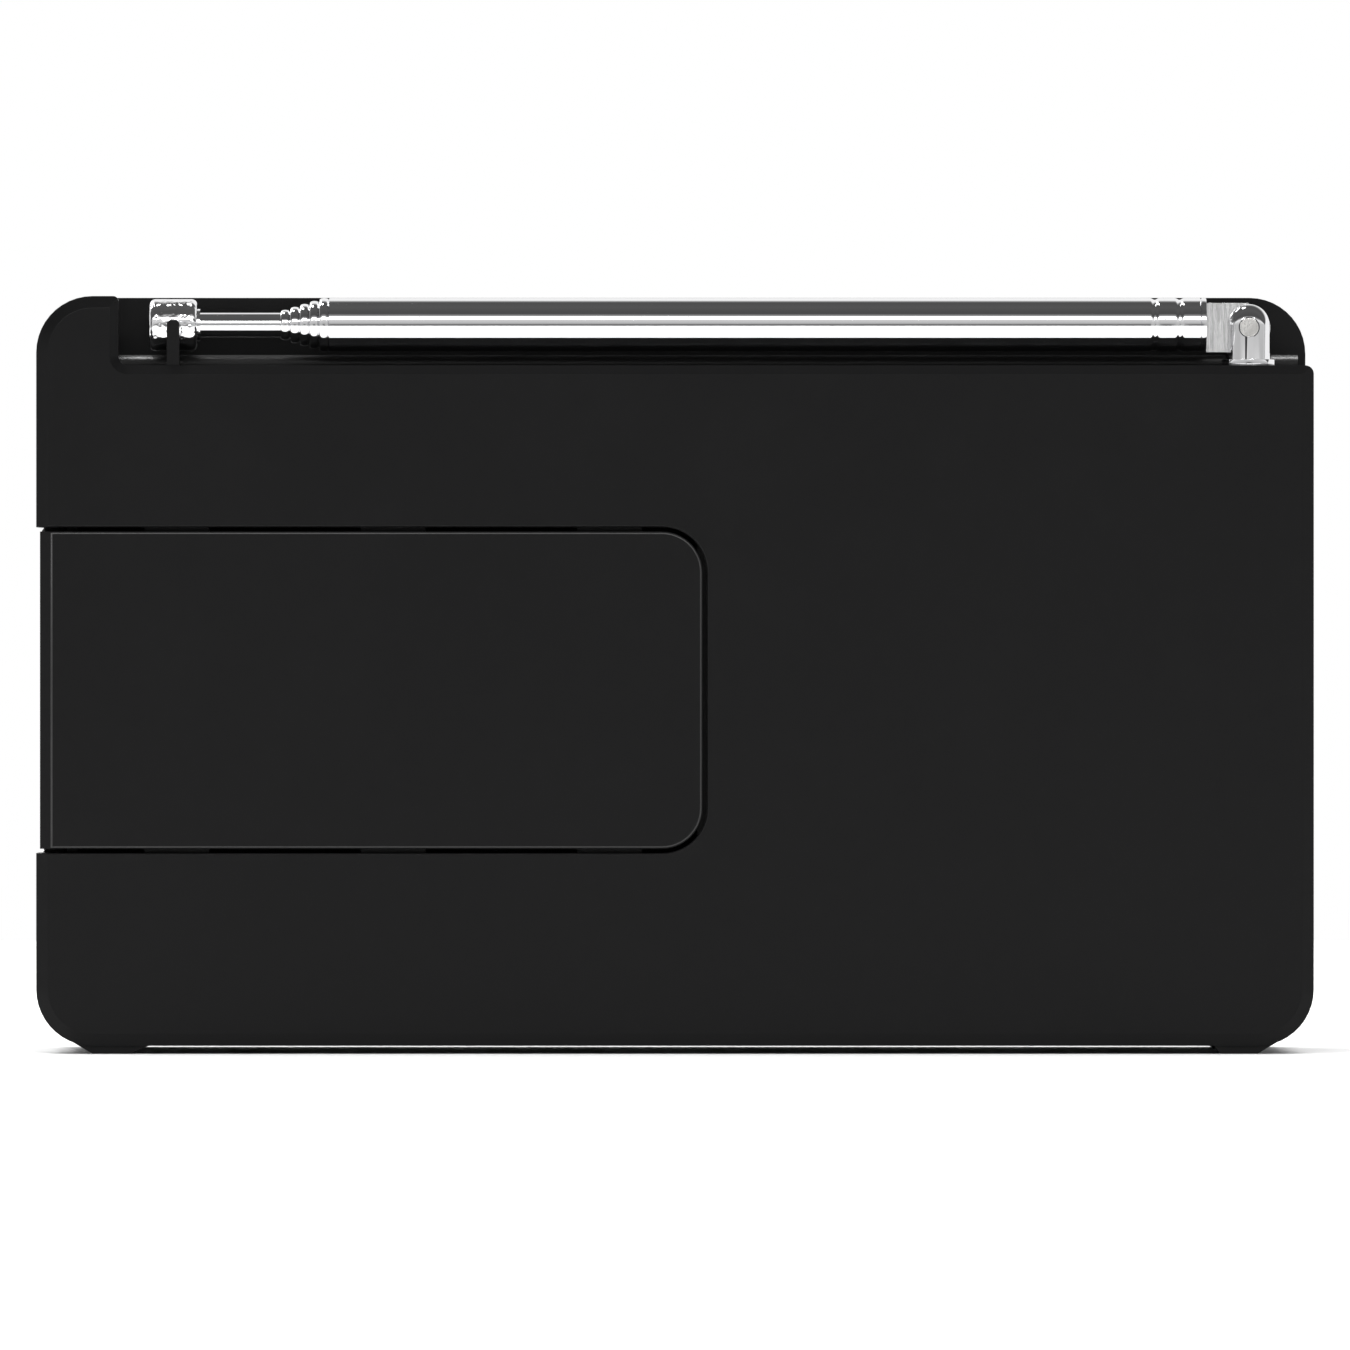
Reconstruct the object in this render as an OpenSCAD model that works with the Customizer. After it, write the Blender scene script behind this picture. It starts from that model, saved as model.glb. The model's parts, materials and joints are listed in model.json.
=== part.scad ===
// Portable radio with a telescopic antenna stowed in a bay along its top rear edge.
// Origin at the middle of the footprint, on the floor. +X is the right of the front,
// -Y the front face, +Y the rear face, +Z up. Millimetres.

/* [Overall] */
// Width of the rear cover
body_w = 118; // [116:1:150]
// Depth over the front and rear faces
body_d = 30; // [29:0.5:40]
// Height from the feet to the top
body_h = 70; // [69:1:90]
// Height of the moulded feet
foot_h = 0.75; // [0.5:0.05:2]

/* [Shells] */
// Thickness of the side, top, bottom and front walls
wall = 1.8; // [1.4:0.1:2.2]
// Thickness of the rear plate
plate_t = 2; // [1.6:0.1:2.4]
// Depth of the rear cover, and of the antenna bay
cover_d = 8; // [7.5:0.1:9]
// Step at the sides between the rear cover and the front cabinet
side_step = 0.5; // [0.2:0.1:0.8]
// Corner radius seen from the rear
corner_r = 5.2; // [3:0.1:7]
// Width of the sloping band around the faces
band_w = 1.1; // [0.5:0.1:1.5]
// Depth of the sloping band around the faces
band_d = 0.7; // [0.3:0.1:1.2]
// Chamfer on the edges of the battery door and its opening
edge_break = 0.15; // [0.05:0.05:0.3]

/* [Antenna bay] */
// Drop from the top to the floor of the bay
bay_drop = 6.4; // [6.2:0.1:9]
// Width of the horn that stands behind the end of the bay
horn_w = 7.6; // [6:0.1:10]
// Room between the antenna's tip and the horn it slides past
horn_clear = 0.35; // [0.2:0.05:0.5]
// Radius in the corner of the bay, seen from the rear
bay_corner_r = 0.85; // [0.4:0.05:1.5]
// Fillet between the floor and the back wall of the bay
bay_fillet = 1.1; // [0.5:0.1:1.3]
// Width of the prong that holds the antenna tip
prong_w = 1.15; // [0.8:0.05:2]
// Height of the prong above the floor of the bay
prong_h = 4.2; // [2:0.1:4.5]

/* [Antenna] */
// Diameter of the widest antenna tube
tube_d = 5; // [4.5:0.1:6]
// Fall in diameter from one section to the next
tube_step = 0.54; // [0.5:0.01:0.6]
// Wall of each antenna tube
tube_wall = 0.16; // [0.14:0.01:0.18]
// Radial clearance at the mouth of each tube
mouth_clear = 0.04; // [0.02:0.01:0.05]
// Length of a section's rim showing outside the next wider one
rim_show = 0.9; // [0.5:0.1:1.5]
// Length of the thinnest section showing when closed
rod_show = 7.7; // [5:0.1:10]
// Diameter of the tip
tip_d = 4.8; // [4:0.1:5]
// Length of the tip
tip_l = 4.45; // [3:0.05:6]
// Diameter of the swivelling knuckle
knuckle_d = 4.2; // [4:0.1:5]
// Distance from the side of the cover to the knuckle's axis
knuckle_inset = 5.9; // [5:0.1:8]
// Thickness of the blade between the knuckle's cheeks
blade_t = 1.5; // [1.2:0.1:1.8]
// Height of the blade
blade_h = 4.56; // [4:0.02:4.8]
// Diameter of the pin the antenna tilts on
tilt_pin_d = 1.74; // [1.4:0.02:2]
// Drop from the antenna's axis to that pin
pin_drop = 0.25; // [0:0.05:0.4]
// Diameter of the spindle under the knuckle
spindle_d = 2.5; // [2:0.1:3]
// Radial clearance of pins, spindles and shafts
turn_clear = 0.04; // [0.02:0.01:0.08]

/* [Battery compartment] */
// Diameter of a cell
cell_d = 14.3; // [11.9:0.1:14.5]
// Length of a cell over its button
cell_l = 50.5; // [44:0.5:50.5]
// Compressed length of a cell spring
spring_l = 7.15; // [5:0.05:8]
// Height of the middle of the battery door
door_z = 33.6; // [33:0.1:36]
// Thickness of the battery door
door_t = 1.6; // [1.4:0.1:2]
// Gap around the battery door
door_gap = 0.4; // [0.25:0.05:0.6]
// Corner radius of the battery door
door_r = 3.75; // [2:0.05:5]
// Inset of the door's outer edge from the side of the cover
door_inset = 0.35; // [0.2:0.05:0.6]
// Thickness of the compartment's walls
tub_wall = 1.2; // [1:0.1:1.4]

/* [Speaker] */
// Diameter of the speaker
speaker_d = 50; // [40:1:50]
// Depth of the speaker
speaker_depth = 15; // [14:0.5:16]
// Height of the speaker's axis
speaker_z = 34; // [32:0.5:36]
// Diameter of the grille disc
grille_d = 47; // [37:1:47]
// Pitch of the grille's holes
grille_pitch = 2.6; // [2.2:0.1:4]
// Diameter of the grille's holes
grille_hole_d = 1.4; // [0.8:0.1:1.8]

/* [Controls] */
// Radius of the tuning wheel
tune_r = 15; // [12:0.5:15]
// Height of the tuning wheel's axis
tune_z = 47; // [46:0.5:48]
// Radius of the volume wheel
vol_r = 10.5; // [9:0.5:11]
// Height of the volume wheel's axis
vol_z = 18; // [17:0.5:19]
// How far the wheels stand proud of the cabinet's side
wheel_proud = 1; // [0.5:0.1:1.2]
// Radius of the wheel shafts
shaft_r = 3; // [2:0.1:3.2]
// Travel of the band switch
band_travel = 4; // [3:0.5:5]
// Radius of the earphone socket
jack_r = 1.8; // [1.3:0.05:1.8]
// Depth of the earphone socket
jack_depth = 13; // [10:0.5:14]

/* [Electronics] */
// Thickness of the circuit board
board_t = 1.2; // [0.8:0.1:1.6]
// Diameter of the ferrite rod
rod_d = 8; // [6:0.5:8]
// Length of the ferrite rod
rod_l = 50; // [40:1:52]
// Diameter of the hook-up wire
wire_d = 1; // [0.8:0.1:1.4]

/* [Hidden] */
$fn = 48;
over = 1;            // how far a cut runs past the face it opens

// The body
half_w = body_w / 2;
cab_half = half_w - side_step;
rear_y = body_d / 2;
front_y = -body_d / 2;
part_y = rear_y - cover_d;
plate_y = rear_y - plate_t;
front_in_y = front_y + wall;
cab_in = cab_half - wall;
floor_z = body_h - bay_drop;
horn_x = half_w - horn_w;
lip_r = 0.8;         // rounding at the open end of the bay's lip
horn_r = 0.5;        // rounding at the top of the horn
foot_x = half_w - 8.6;   // where the flat of a foot begins
foot_flat = 3.4;
join = 0.02;         // how far a moulded-on feature sinks into its wall
tongue_gap = 0.15;
bottom_tongue_xs = [-34, 0, 34];
side_tongues = [[-1, 12], [-1, 42], [1, 12], [1, 54]];  // side and height

// The battery compartment
cell_r = cell_d / 2;
open_h = 2 * cell_d + 1.5;
door_h = open_h - 2 * door_gap;
open_r = door_r + door_gap;
contact_t = 0.3;
skirt_t = 1.6;
skirt_x = half_w - door_inset - skirt_t;
tub_x1 = skirt_x - 0.75;
tub_in_x1 = tub_x1 - 1;
open_x = tub_in_x1 - cell_l - spring_l - 2 * contact_t;
door_x = open_x + door_gap;
door_in_y = rear_y - door_t;
cell_pitch = cell_d + 0.2;
upper_z = door_z + cell_pitch / 2;
lower_z = door_z - cell_pitch / 2;
lip_y = plate_y - 1;         // door lips run from here to the plate
lip_w = 1.5;
ledge_w = 0.9;               // ledge behind the gap at the door's closed end
hook_y = lip_y - 1.4;        // feet of the door's hooks
hook_t = 1.2;
leg_t = 0.8;
leg_z = open_h / 2 - lip_w - 0.65;   // middle of a hook's leg, from the door's middle
// The cells lie as near the door as its hooks let them
leg_reach = leg_z - leg_t / 2 - cell_pitch / 2;
cell_y = min(door_in_y - 0.5 - cell_r,
             hook_y + 0.2 - sqrt(pow(cell_r + 0.1, 2) - leg_reach * leg_reach));
tub_y = cell_y - cell_r - 0.15;
tub_out_y = tub_y - tub_wall;
spring_r = 0.7 * cell_r;
terminal_half = min(3.6, open_h / 2 - open_r - cell_pitch / 2 - 0.03);
hook_xs = [9, 29, 49];       // middles of hooks and lips, from the opening's end
case_screw_xs = [9, 31];     // case screws, from the opening's end

// The electronics
board_y = tub_out_y - 0.65;
board_front = board_y - board_t;
board_x0 = open_x - 1.35;
board_x1 = tub_x1 - 0.8;
board_z0 = foot_h + wall + 1.5;
board_z1 = body_h - 7.5;
board_holes = [
  [board_x0 + 6, board_z1 - 3.5], [board_x0 + 36, board_z1 - 2.5],
  [board_x0 + 6, board_z0 + 3], [board_x0 + 39, board_z0 + 3]
];
rod_y = board_y + rod_d / 2 + 2;
rod_z = door_z + open_h / 2 + tub_wall + rod_d / 2 + 3.2;
rod_x0 = board_x0 + 3;
screw_r = 0.95;
head_r = 1.9;
screw_clear = 0.1;

// The tuning and volume wheels
tune_x = cab_half + wheel_proud - tune_r;
vol_x = cab_half + wheel_proud - vol_r;
cap_t = 5;
cap_w = 15;
tune_back = board_front - cap_t - 1.5;   // rear of the web
web_t = 1;
rim_d = 5;
disc_t = 0.8;
pot_t = 3.6;
pot_r = 7.5;
vol_back = board_front - pot_t - 0.4;
vol_t = 2.5;
slot_gap = 0.5;
window_x0 = tune_x - 16;
window_x1 = tune_x + 9;
window_z = tune_z;
window_h = 20;
window_r = 3;
lens_t = 1.4;

// The speaker
speaker_r = speaker_d / 2;
speaker_x = -half_w + 3 + speaker_r;
speaker_y = front_in_y;
flange_t = 1;
magnet_r = 11;
magnet_t = 4.8;
cone_gap = 0.7;
grille_r = grille_d / 2;
grille_t = 0.6;
grille_seat = 0.8;
grille_ledge = 2;
speaker_screw_r = speaker_r + 2.2;
speaker_screw_angles = [90, 225, 315];

// The band switch and the earphone socket
band_x = open_x + 16;
band_z = foot_h + 13;
jack_y = part_y - 6;
jack_z = body_h - 15;
jack_collar_r = jack_r + 1.2;

// The antenna
ant_y = rear_y - 4.5;
ant_z = body_h - tube_d / 2 - 0.1;
pin_z = ant_z - pin_drop;
prong_in = 4.45;     // from the horn to the prong
horn_in_y = ant_y + tip_d / 2 + horn_clear;
knuckle_x = -half_w + knuckle_inset;
knuckle_r = knuckle_d / 2;
seam_w = 0.12;       // seam down the cheek under the pin
seam_x = knuckle_x + 0.25;
flange_r = 2.5;
base_flange_t = 0.6;
slot_w = blade_t + 0.2;
tube_x0 = knuckle_x + 3.9;
tube_x1 = horn_x - 18.5;
plug_l = 6;
function tube_r(n) = (tube_d - tube_step * n) / 2;
function bore_r(n) = tube_r(n) - tube_wall;
function sec_x0(n) = n == 0 ? tube_x0 : tube_x0 + plug_l + 0.5 + 0.2 * n;
function sec_x1(n) = tube_x1 + rim_show * n;
mouth_l = 0.6;
bush_l = 3;
rod_x1 = sec_x1(4) + rod_show;
crimps = [tube_x0 + 2.5, tube_x0 + 4.8];
crimp_d = 0.12;
lug_t = 0.4;

// ---- helpers ----

// Extrudes a shape drawn in X and Z from y0 to y1
module slab(y0, y1) {
  translate([0, y1, 0])
    rotate([90, 0, 0])
      linear_extrude(y1 - y0)
        children();
}

module rod_along_y(x, z, r, y0, y1) {
  translate([x, y1, z])
    rotate([90, 0, 0])
      cylinder(r = r, h = y1 - y0);
}

module rod_along_x(x0, x1, y, z, r) {
  translate([x0, y, z])
    rotate([0, 90, 0])
      cylinder(r = r, h = x1 - x0);
}

module block(x0, x1, y0, y1, z0, z1) {
  translate([x0, y0, z0])
    cube([x1 - x0, y1 - y0, z1 - z0]);
}

// A rectangle with true round corners
module round_rect(x0, x1, z0, z1, r) {
  translate([x0 + r, z0])
    square([x1 - x0 - 2 * r, z1 - z0]);
  translate([x0, z0 + r])
    square([x1 - x0, z1 - z0 - 2 * r]);
  for (x = [x0 + r, x1 - r], z = [z0 + r, z1 - r])
    translate([x, z])
      circle(r = r);
}

// A round-cornered block whose outline shrinks by inset between y0 and y1
module bevel_block(x0, x1, z0, z1, r, y0, y1, inset) {
  translate([0, 0, z0 + r])
    linear_extrude(z1 - z0 - 2 * r)
      polygon([[x0, y0], [x1, y0], [x1 - inset, y1], [x0 + inset, y1]]);
  translate([x0 + r, 0, 0])
    rotate([90, 0, 90])
      linear_extrude(x1 - x0 - 2 * r)
        polygon([[y0, z0], [y0, z1], [y1, z1 - inset], [y1, z0 + inset]]);
  for (x = [x0 + r, x1 - r], z = [z0 + r, z1 - r])
    translate([x, y0, z])
      rotate([-90, 0, 0])
        cylinder(r1 = r, r2 = r - inset, h = y1 - y0);
}

// What a round corner leaves of its square, for taking a sharp edge off
module corner_cut(x, z, r, sx, sz, y0, y1) {
  slab(y0, y1)
    translate([x, z])
      scale([sx, sz])
        difference() {
          translate([-0.5, -0.5])
            square(r + 0.5);
          translate([r, r])
            circle(r = r);
        }
}

// A wheel outline with fine grip teeth
module knurled(r, teeth, depth) {
  polygon([
    for (i = [0 : 2 * teeth - 1])
      let (a = 180 * i / teeth, p = i % 2 == 0 ? r : r - depth)
        [p * cos(a), p * sin(a)]
  ]);
}

function unit(v) = v / norm(v);

// Points of a smooth curve through the chosen ones
function curve_point(a, b, c, d, t) =
  0.5 * (2 * b + (c - a) * t + (2 * a - 5 * b + 4 * c - d) * t * t
         + (3 * b - a - 3 * c + d) * t * t * t);
function smooth_path(p, steps) = [
  for (i = [0 : len(p) - 2], s = [0 : steps - 1])
    curve_point(p[max(i - 1, 0)], p[i], p[i + 1], p[min(i + 2, len(p) - 1)], s / steps),
  p[len(p) - 1]
];

// A round tube swept along points; ref is never parallel to the path
module swept_tube(path, r, sides, ref) {
  n = len(path);
  rings = [
    for (i = [0 : n - 1])
      let (
        t = unit(path[min(i + 1, n - 1)] - path[max(i - 1, 0)]),
        a = unit(cross(ref, t)),
        b = cross(t, a)
      )
        for (k = [0 : sides - 1])
          path[i] + r * (cos(360 * k / sides) * a + sin(360 * k / sides) * b)
  ];
  walls = [
    for (i = [0 : n - 2], k = [0 : sides - 1])
      let (a = i * sides + k, b = i * sides + (k + 1) % sides)
        each [[a, a + sides, b], [b, a + sides, b + sides]]
  ];
  ends = [
    [for (k = [0 : sides - 1]) k],
    [for (k = [sides - 1 : -1 : 0]) (n - 1) * sides + k]
  ];
  polyhedron(points = rings, faces = concat(walls, ends));
}

// A screw with a cross-slotted cheese head, driven towards -Y
module screw_y(x, z, head_y, head_radius, head_t, shank_l) {
  difference() {
    union() {
      rod_along_y(x, z, head_radius, head_y, head_y + head_t);
      rod_along_y(x, z, screw_r, head_y - shank_l, head_y + join);
    }
    for (turn = [0, 90])
      translate([x, head_y + head_t, z])
        rotate([0, turn, 0])
          cube([head_radius * 1.2, head_t, head_radius * 0.22], center = true);
  }
}

// ---- shells ----

module foot(side, inner_run, y0, y1) {
  flat = foot_x;
  slab(y0, y1)
    polygon([
      [side * (flat + foot_flat + 2.1), foot_h + 0.5],
      [side * (flat + foot_flat), 0],
      [side * flat, 0],
      [side * (flat - inner_run), foot_h + join],
      [side * (flat - inner_run), foot_h + 0.5]
    ]);
}

module cover_skin() {
  bevel_block(-half_w, half_w, foot_h, body_h, corner_r, part_y, rear_y - band_d, 0);
  bevel_block(-half_w, half_w, foot_h, body_h, corner_r, rear_y - band_d - join, rear_y, band_w);
}

module bay_space() {
  far = 3 * corner_r;
  flare = bay_corner_r;
  bevel_block(-half_w - far, horn_x, floor_z, body_h + far, bay_corner_r,
              part_y - over, rear_y - band_d, 0);
  bevel_block(-half_w - far, horn_x, floor_z, body_h + far, bay_corner_r,
              rear_y - band_d, rear_y + join, -flare);
}

module cover_cavity() {
  slab(part_y - over, plate_y)
    round_rect(-half_w + wall, half_w - wall, foot_h + wall, floor_z - wall, corner_r - wall);
  block(-half_w + wall, half_w - wall, part_y - over, plate_y, door_z, floor_z - wall);
}

// The bay runs on behind the horn and out at the side, so the antenna can also be drawn out flat
module horn_channel() {
  block(horn_x - over, half_w + over, part_y - over, horn_in_y, floor_z, body_h + over);
  corner_cut(half_w, floor_z, lip_r, -1, -1, part_y - over, horn_in_y);
}

module tub_block() {
  z0 = door_z - open_h / 2 - tub_wall;
  z1 = door_z + open_h / 2 + tub_wall;
  slab(tub_out_y, plate_y + join)
    round_rect(open_x - tub_wall, tub_x1, z0, z1, 1);
}

module door_opening() {
  z0 = door_z - open_h / 2;
  z1 = door_z + open_h / 2;
  far = half_w + 3 * open_r;
  slab(tub_y, hook_y)
    intersection() {
      round_rect(open_x, far, z0, z1, open_r);
      translate([open_x - over, z0])
        square([tub_in_x1 - open_x + over, open_h]);
    }
  bevel_block(open_x, far, z0, z1, open_r, hook_y - 0.3, rear_y - edge_break, 0);
  bevel_block(open_x, far, z0, z1, open_r, rear_y - edge_break, rear_y + join, -edge_break);
  block(tub_x1, half_w + over, part_y - over, hook_y, z0, z1);
}

module door_lips() {
  block(open_x - over, open_x + ledge_w, lip_y, plate_y - 0.2,
        door_z - open_h / 2 - join, door_z + open_h / 2 + join);
  for (x = hook_xs, side = [-1, 1])
    block(open_x + x - 3, open_x + x + 3, lip_y, plate_y + 0.2,
          side > 0 ? door_z + open_h / 2 - lip_w : door_z - open_h / 2 - join,
          side > 0 ? door_z + open_h / 2 + join : door_z - open_h / 2 + lip_w);
}

module prong() {
  x1 = horn_x - prong_in;
  chamfer = 0.25;
  slab(rear_y - 1.85, rear_y - 0.85)
    polygon([
      [x1 - prong_w, floor_z - join], [x1, floor_z - join],
      [x1, floor_z + prong_h - chamfer], [x1 - chamfer, floor_z + prong_h],
      [x1 - prong_w + chamfer, floor_z + prong_h], [x1 - prong_w, floor_z + prong_h - chamfer]
    ]);
}

module bay_floor_fillet() {
  inset = lip_r + 0.4;
  translate([-half_w + inset, part_y, floor_z])
    rotate([90, 0, 90])
      linear_extrude(2 * (half_w - inset))
        difference() {
          translate([0, -join])
            square([bay_fillet, bay_fillet + join]);
          translate([bay_fillet, bay_fillet])
            circle(r = bay_fillet);
        }
}

// Tongues that locate the rear cover inside the cabinet's mouth
module cover_tongues() {
  tongue_in = part_y - 2.4;
  near = cab_in - tongue_gap;
  bottom = foot_h + wall;
  for (x = bottom_tongue_xs) {
    block(x - 4, x + 4, tongue_in, part_y + over, bottom + tongue_gap, bottom + tongue_gap + 1);
    block(x - 4, x + 4, part_y, part_y + 3, bottom - 0.2, bottom + tongue_gap + 1);
  }
  for (t = side_tongues) {
    inner = t[0] > 0 ? near - 1 : -near;
    block(inner, inner + 1, tongue_in, part_y + over, t[1] - 3, t[1] + 3);
    block(t[0] > 0 ? near - 1 : -half_w + wall - 0.2, t[0] > 0 ? half_w - wall + 0.2 : -near + 1,
          part_y, part_y + 3, t[1] - 3, t[1] + 3);
  }
}

module cell_rib() {
  for (x = [14, 36])
    block(open_x + x, open_x + x + 9, tub_y - join, tub_y + 3, door_z - 0.6, door_z + 0.6);
}

module rear_cover() {
  color([0.13, 0.13, 0.13])
    difference() {
      union() {
        difference() {
          cover_skin();
          cover_cavity();
          bay_space();
          horn_channel();
        }
        tub_block();
        foot(1, 1.85, part_y + 0.6, rear_y - band_d - 0.3);
        foot(-1, 0.6, part_y + 0.6, rear_y - band_d - 0.3);
        cover_tongues();
        bay_floor_fillet();
        prong();
        spindle_boss();
      }
      difference() {
        door_opening();
        door_lips();
        cell_rib();
      }
      corner_cut(-half_w, floor_z, lip_r, 1, -1, part_y - over, rear_y + over);
      corner_cut(horn_x, body_h, horn_r, 1, -1, part_y - over, rear_y + over);
      translate([knuckle_x, ant_y, floor_z - wall - 2])
        cylinder(d = spindle_d + 2 * turn_clear, h = wall + 4);
      for (x = case_screw_xs)
        rod_along_y(open_x + x, door_z, screw_r + screw_clear, tub_out_y - over, tub_y + over);
      for (z = [upper_z, lower_z])
        block(open_x - tub_wall - over, open_x + over, cell_y - 5.2, cell_y - 4.6, z - 1.6, z + 1.6);
    }
}

// Thickening of the bay's floor around the antenna's spindle
module spindle_boss() {
  translate([knuckle_x, ant_y, floor_z - wall - 0.4])
    cylinder(r = 2.9, h = 0.6);
}

module cabinet_skin() {
  bevel_block(-cab_half, cab_half, foot_h, body_h, corner_r, front_y + band_d, part_y, 0);
  bevel_block(-cab_half + band_w, cab_half - band_w, foot_h + band_w, body_h - band_w,
              corner_r - band_w, front_y, front_y + band_d + join, -band_w);
}

module strap_pocket(grow) {
  block(cab_half - 6.6 - grow, cab_half + over, part_y - 15 - grow, part_y - 3 + grow,
        body_h - 5.1 - grow, body_h + over);
}

module strap_eye() {
  difference() {
    rod_along_y(half_w - 4.15, body_h - 2.4, 2.9, part_y - 10.5, part_y - 7.5);
    rod_along_y(half_w - 4.15, body_h - 2.2, 1.1, part_y - 11, part_y - 7);
  }
}

module post(x, z, r, y1) {
  rod_along_y(x, z, r, front_in_y - 0.3, y1);
}

module wheel_slot(z, r, y0, y1) {
  reach = r - wheel_proud - wall;
  half = sqrt(r * r - reach * reach) + 0.7;
  block(cab_in - over, cab_half + over, y0 - slot_gap, y1 + slot_gap, z - half, z + half);
}

module front_cabinet() {
  color([0.13, 0.13, 0.13])
    difference() {
      union() {
        difference() {
          cabinet_skin();
          slab(front_in_y, part_y + over)
            round_rect(-cab_in, cab_in, foot_h + wall, body_h - wall, corner_r - wall);
        }
        // the wall that closes the back of the antenna bay, and the walls of the strap pocket
        intersection() {
          cabinet_skin();
          union() {
            block(-half_w, half_w, part_y - wall, part_y, floor_z - wall + 0.2, body_h);
            strap_pocket(1.6);
          }
        }
        for (p = board_holes)
          post(p[0], p[1], 2.4, board_front);
        for (x = case_screw_xs)
          post(open_x + x, door_z, 2.6, board_front);
        for (a = speaker_screw_angles)
          post(speaker_x + speaker_screw_r * cos(a), speaker_z + speaker_screw_r * sin(a),
               2, front_in_y + flange_t);
        foot(1, 1.85, front_y + band_d + 0.5, front_y + 8);
        foot(-1, 0.6, front_y + band_d + 0.5, front_y + 8);
      }
      difference() {
        strap_pocket(0);
        strap_eye();
      }
      for (p = board_holes)
        rod_along_y(p[0], p[1], screw_r + screw_clear, board_front - 6, board_front + over);
      for (x = case_screw_xs)
        rod_along_y(open_x + x, door_z, screw_r + screw_clear, board_front - 7, board_front + over);
      for (a = speaker_screw_angles)
        translate([speaker_screw_r * cos(a), 0, speaker_screw_r * sin(a)])
          rod_along_y(speaker_x, speaker_z, screw_r + screw_clear,
                      front_in_y - 1, front_in_y + flange_t + over);
      // the front openings
      rod_along_y(speaker_x, speaker_z, grille_r - grille_ledge, front_y - over, front_in_y + over);
      rod_along_y(speaker_x, speaker_z, grille_r + 0.1, front_y - over, front_y + grille_seat);
      slab(front_y - over, front_y + lens_t)
        round_rect(window_x0 - 0.1, window_x1 + 0.1, window_z - window_h / 2 - 0.1,
                   window_z + window_h / 2 + 0.1, window_r + 0.1);
      slab(front_y - over, front_in_y + over)
        round_rect(window_x0 + 1.2, window_x1 - 1.2, window_z - window_h / 2 + 1.2,
                   window_z + window_h / 2 - 1.2, window_r - 1.2);
      slab(front_y - over, front_y + 1)
        round_rect(band_x - 5.5, band_x + 5.5, band_z - 2.5, band_z + 2.5, 1);
      slab(front_y - over, front_in_y + over)
        round_rect(band_x - 4, band_x + 4, band_z - 1.2, band_z + 1.2, 0.4);
      rod_along_y(band_x - 7, body_h - 11, 1.3, front_y - over, front_in_y + over);
      // the side openings
      wheel_slot(tune_z, tune_r, tune_back - web_t - disc_t + 0.2, tune_back - web_t + rim_d);
      wheel_slot(vol_z, vol_r, vol_back - vol_t, vol_back);
      rod_along_x(-cab_half - over, -cab_in + over, jack_y, jack_z, jack_collar_r + 0.1);
      rod_along_x(-cab_half - over, -cab_half + 0.9, jack_y, jack_z, jack_collar_r + 1.5);
    }
}

module battery_door() {
  z0 = door_z - door_h / 2;
  z1 = door_z + door_h / 2;
  far = half_w + 3 * door_r;
  edge_x = half_w - door_inset;
  color([0.13, 0.13, 0.13]) {
    difference() {
      intersection() {
        union() {
          bevel_block(door_x, far, z0, z1, door_r, part_y + 0.35, rear_y - edge_break, 0);
          bevel_block(door_x, far, z0, z1, door_r, rear_y - edge_break - join, rear_y, edge_break);
        }
        union() {
          block(door_x - over, edge_x, part_y, rear_y - band_d, z0 - over, z1 + over);
          translate([0, 0, z0 - over])
            linear_extrude(door_h + 2 * over)
              polygon([
                [door_x - over, rear_y - band_d - join], [edge_x, rear_y - band_d - join],
                [edge_x - band_w, rear_y], [door_x - over, rear_y]
              ]);
        }
      }
      block(door_x - over, skirt_x, part_y, door_in_y, z0 - over, z1 + over);
    }
    for (x = hook_xs, side = [-1, 1]) {
      z = door_z + side * leg_z;
      block(open_x + x - 2.5, open_x + x + 2.5, hook_y + 0.2, door_in_y + join,
            z - leg_t / 2, z + leg_t / 2);
      block(open_x + x - 2.5, open_x + x + 2.5, hook_y + 0.2, hook_y + hook_t,
            side > 0 ? z : z - 1.9, side > 0 ? z + 1.9 : z);
    }
  }
}

// ---- speaker ----

module about_speaker() {
  translate([speaker_x, speaker_y, speaker_z])
    rotate([-90, 0, 0])
      children();
}

module speaker_grille() {
  color([0.3, 0.3, 0.31])
    translate([speaker_x, front_y + grille_seat, speaker_z])
      rotate([90, 0, 0])
        linear_extrude(grille_t)
          difference() {
            circle(r = grille_r);
            for (i = [-12 : 12], j = [-12 : 12]) {
              x = (i + (j % 2 == 0 ? 0 : 0.5)) * grille_pitch;
              y = j * grille_pitch * 0.866;
              if (norm([x, y]) < grille_r - grille_ledge - 1)
                translate([x, y])
                  circle(d = grille_hole_d, $fn = 16);
            }
          }
}

module speaker_frame() {
  basket_r = magnet_r + 1.5;
  back = speaker_depth - magnet_t;
  color([0.55, 0.56, 0.57])
    about_speaker()
      difference() {
        rotate_extrude()
          polygon([
            [speaker_r - 3, 0], [speaker_r, 0], [speaker_r, flange_t],
            [speaker_r - 1.5, flange_t], [basket_r + 1, back], [6.8, back],
            [6.8, back - 1], [basket_r, back - 1], [speaker_r - 3, flange_t + 0.2]
          ]);
        for (a = [0 : 60 : 300])
          rotate([0, 0, a + 15])
            translate([speaker_r * 0.7, 0, back - 4.2])
              cube([6, 8, 4], center = true);
      }
}

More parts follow.
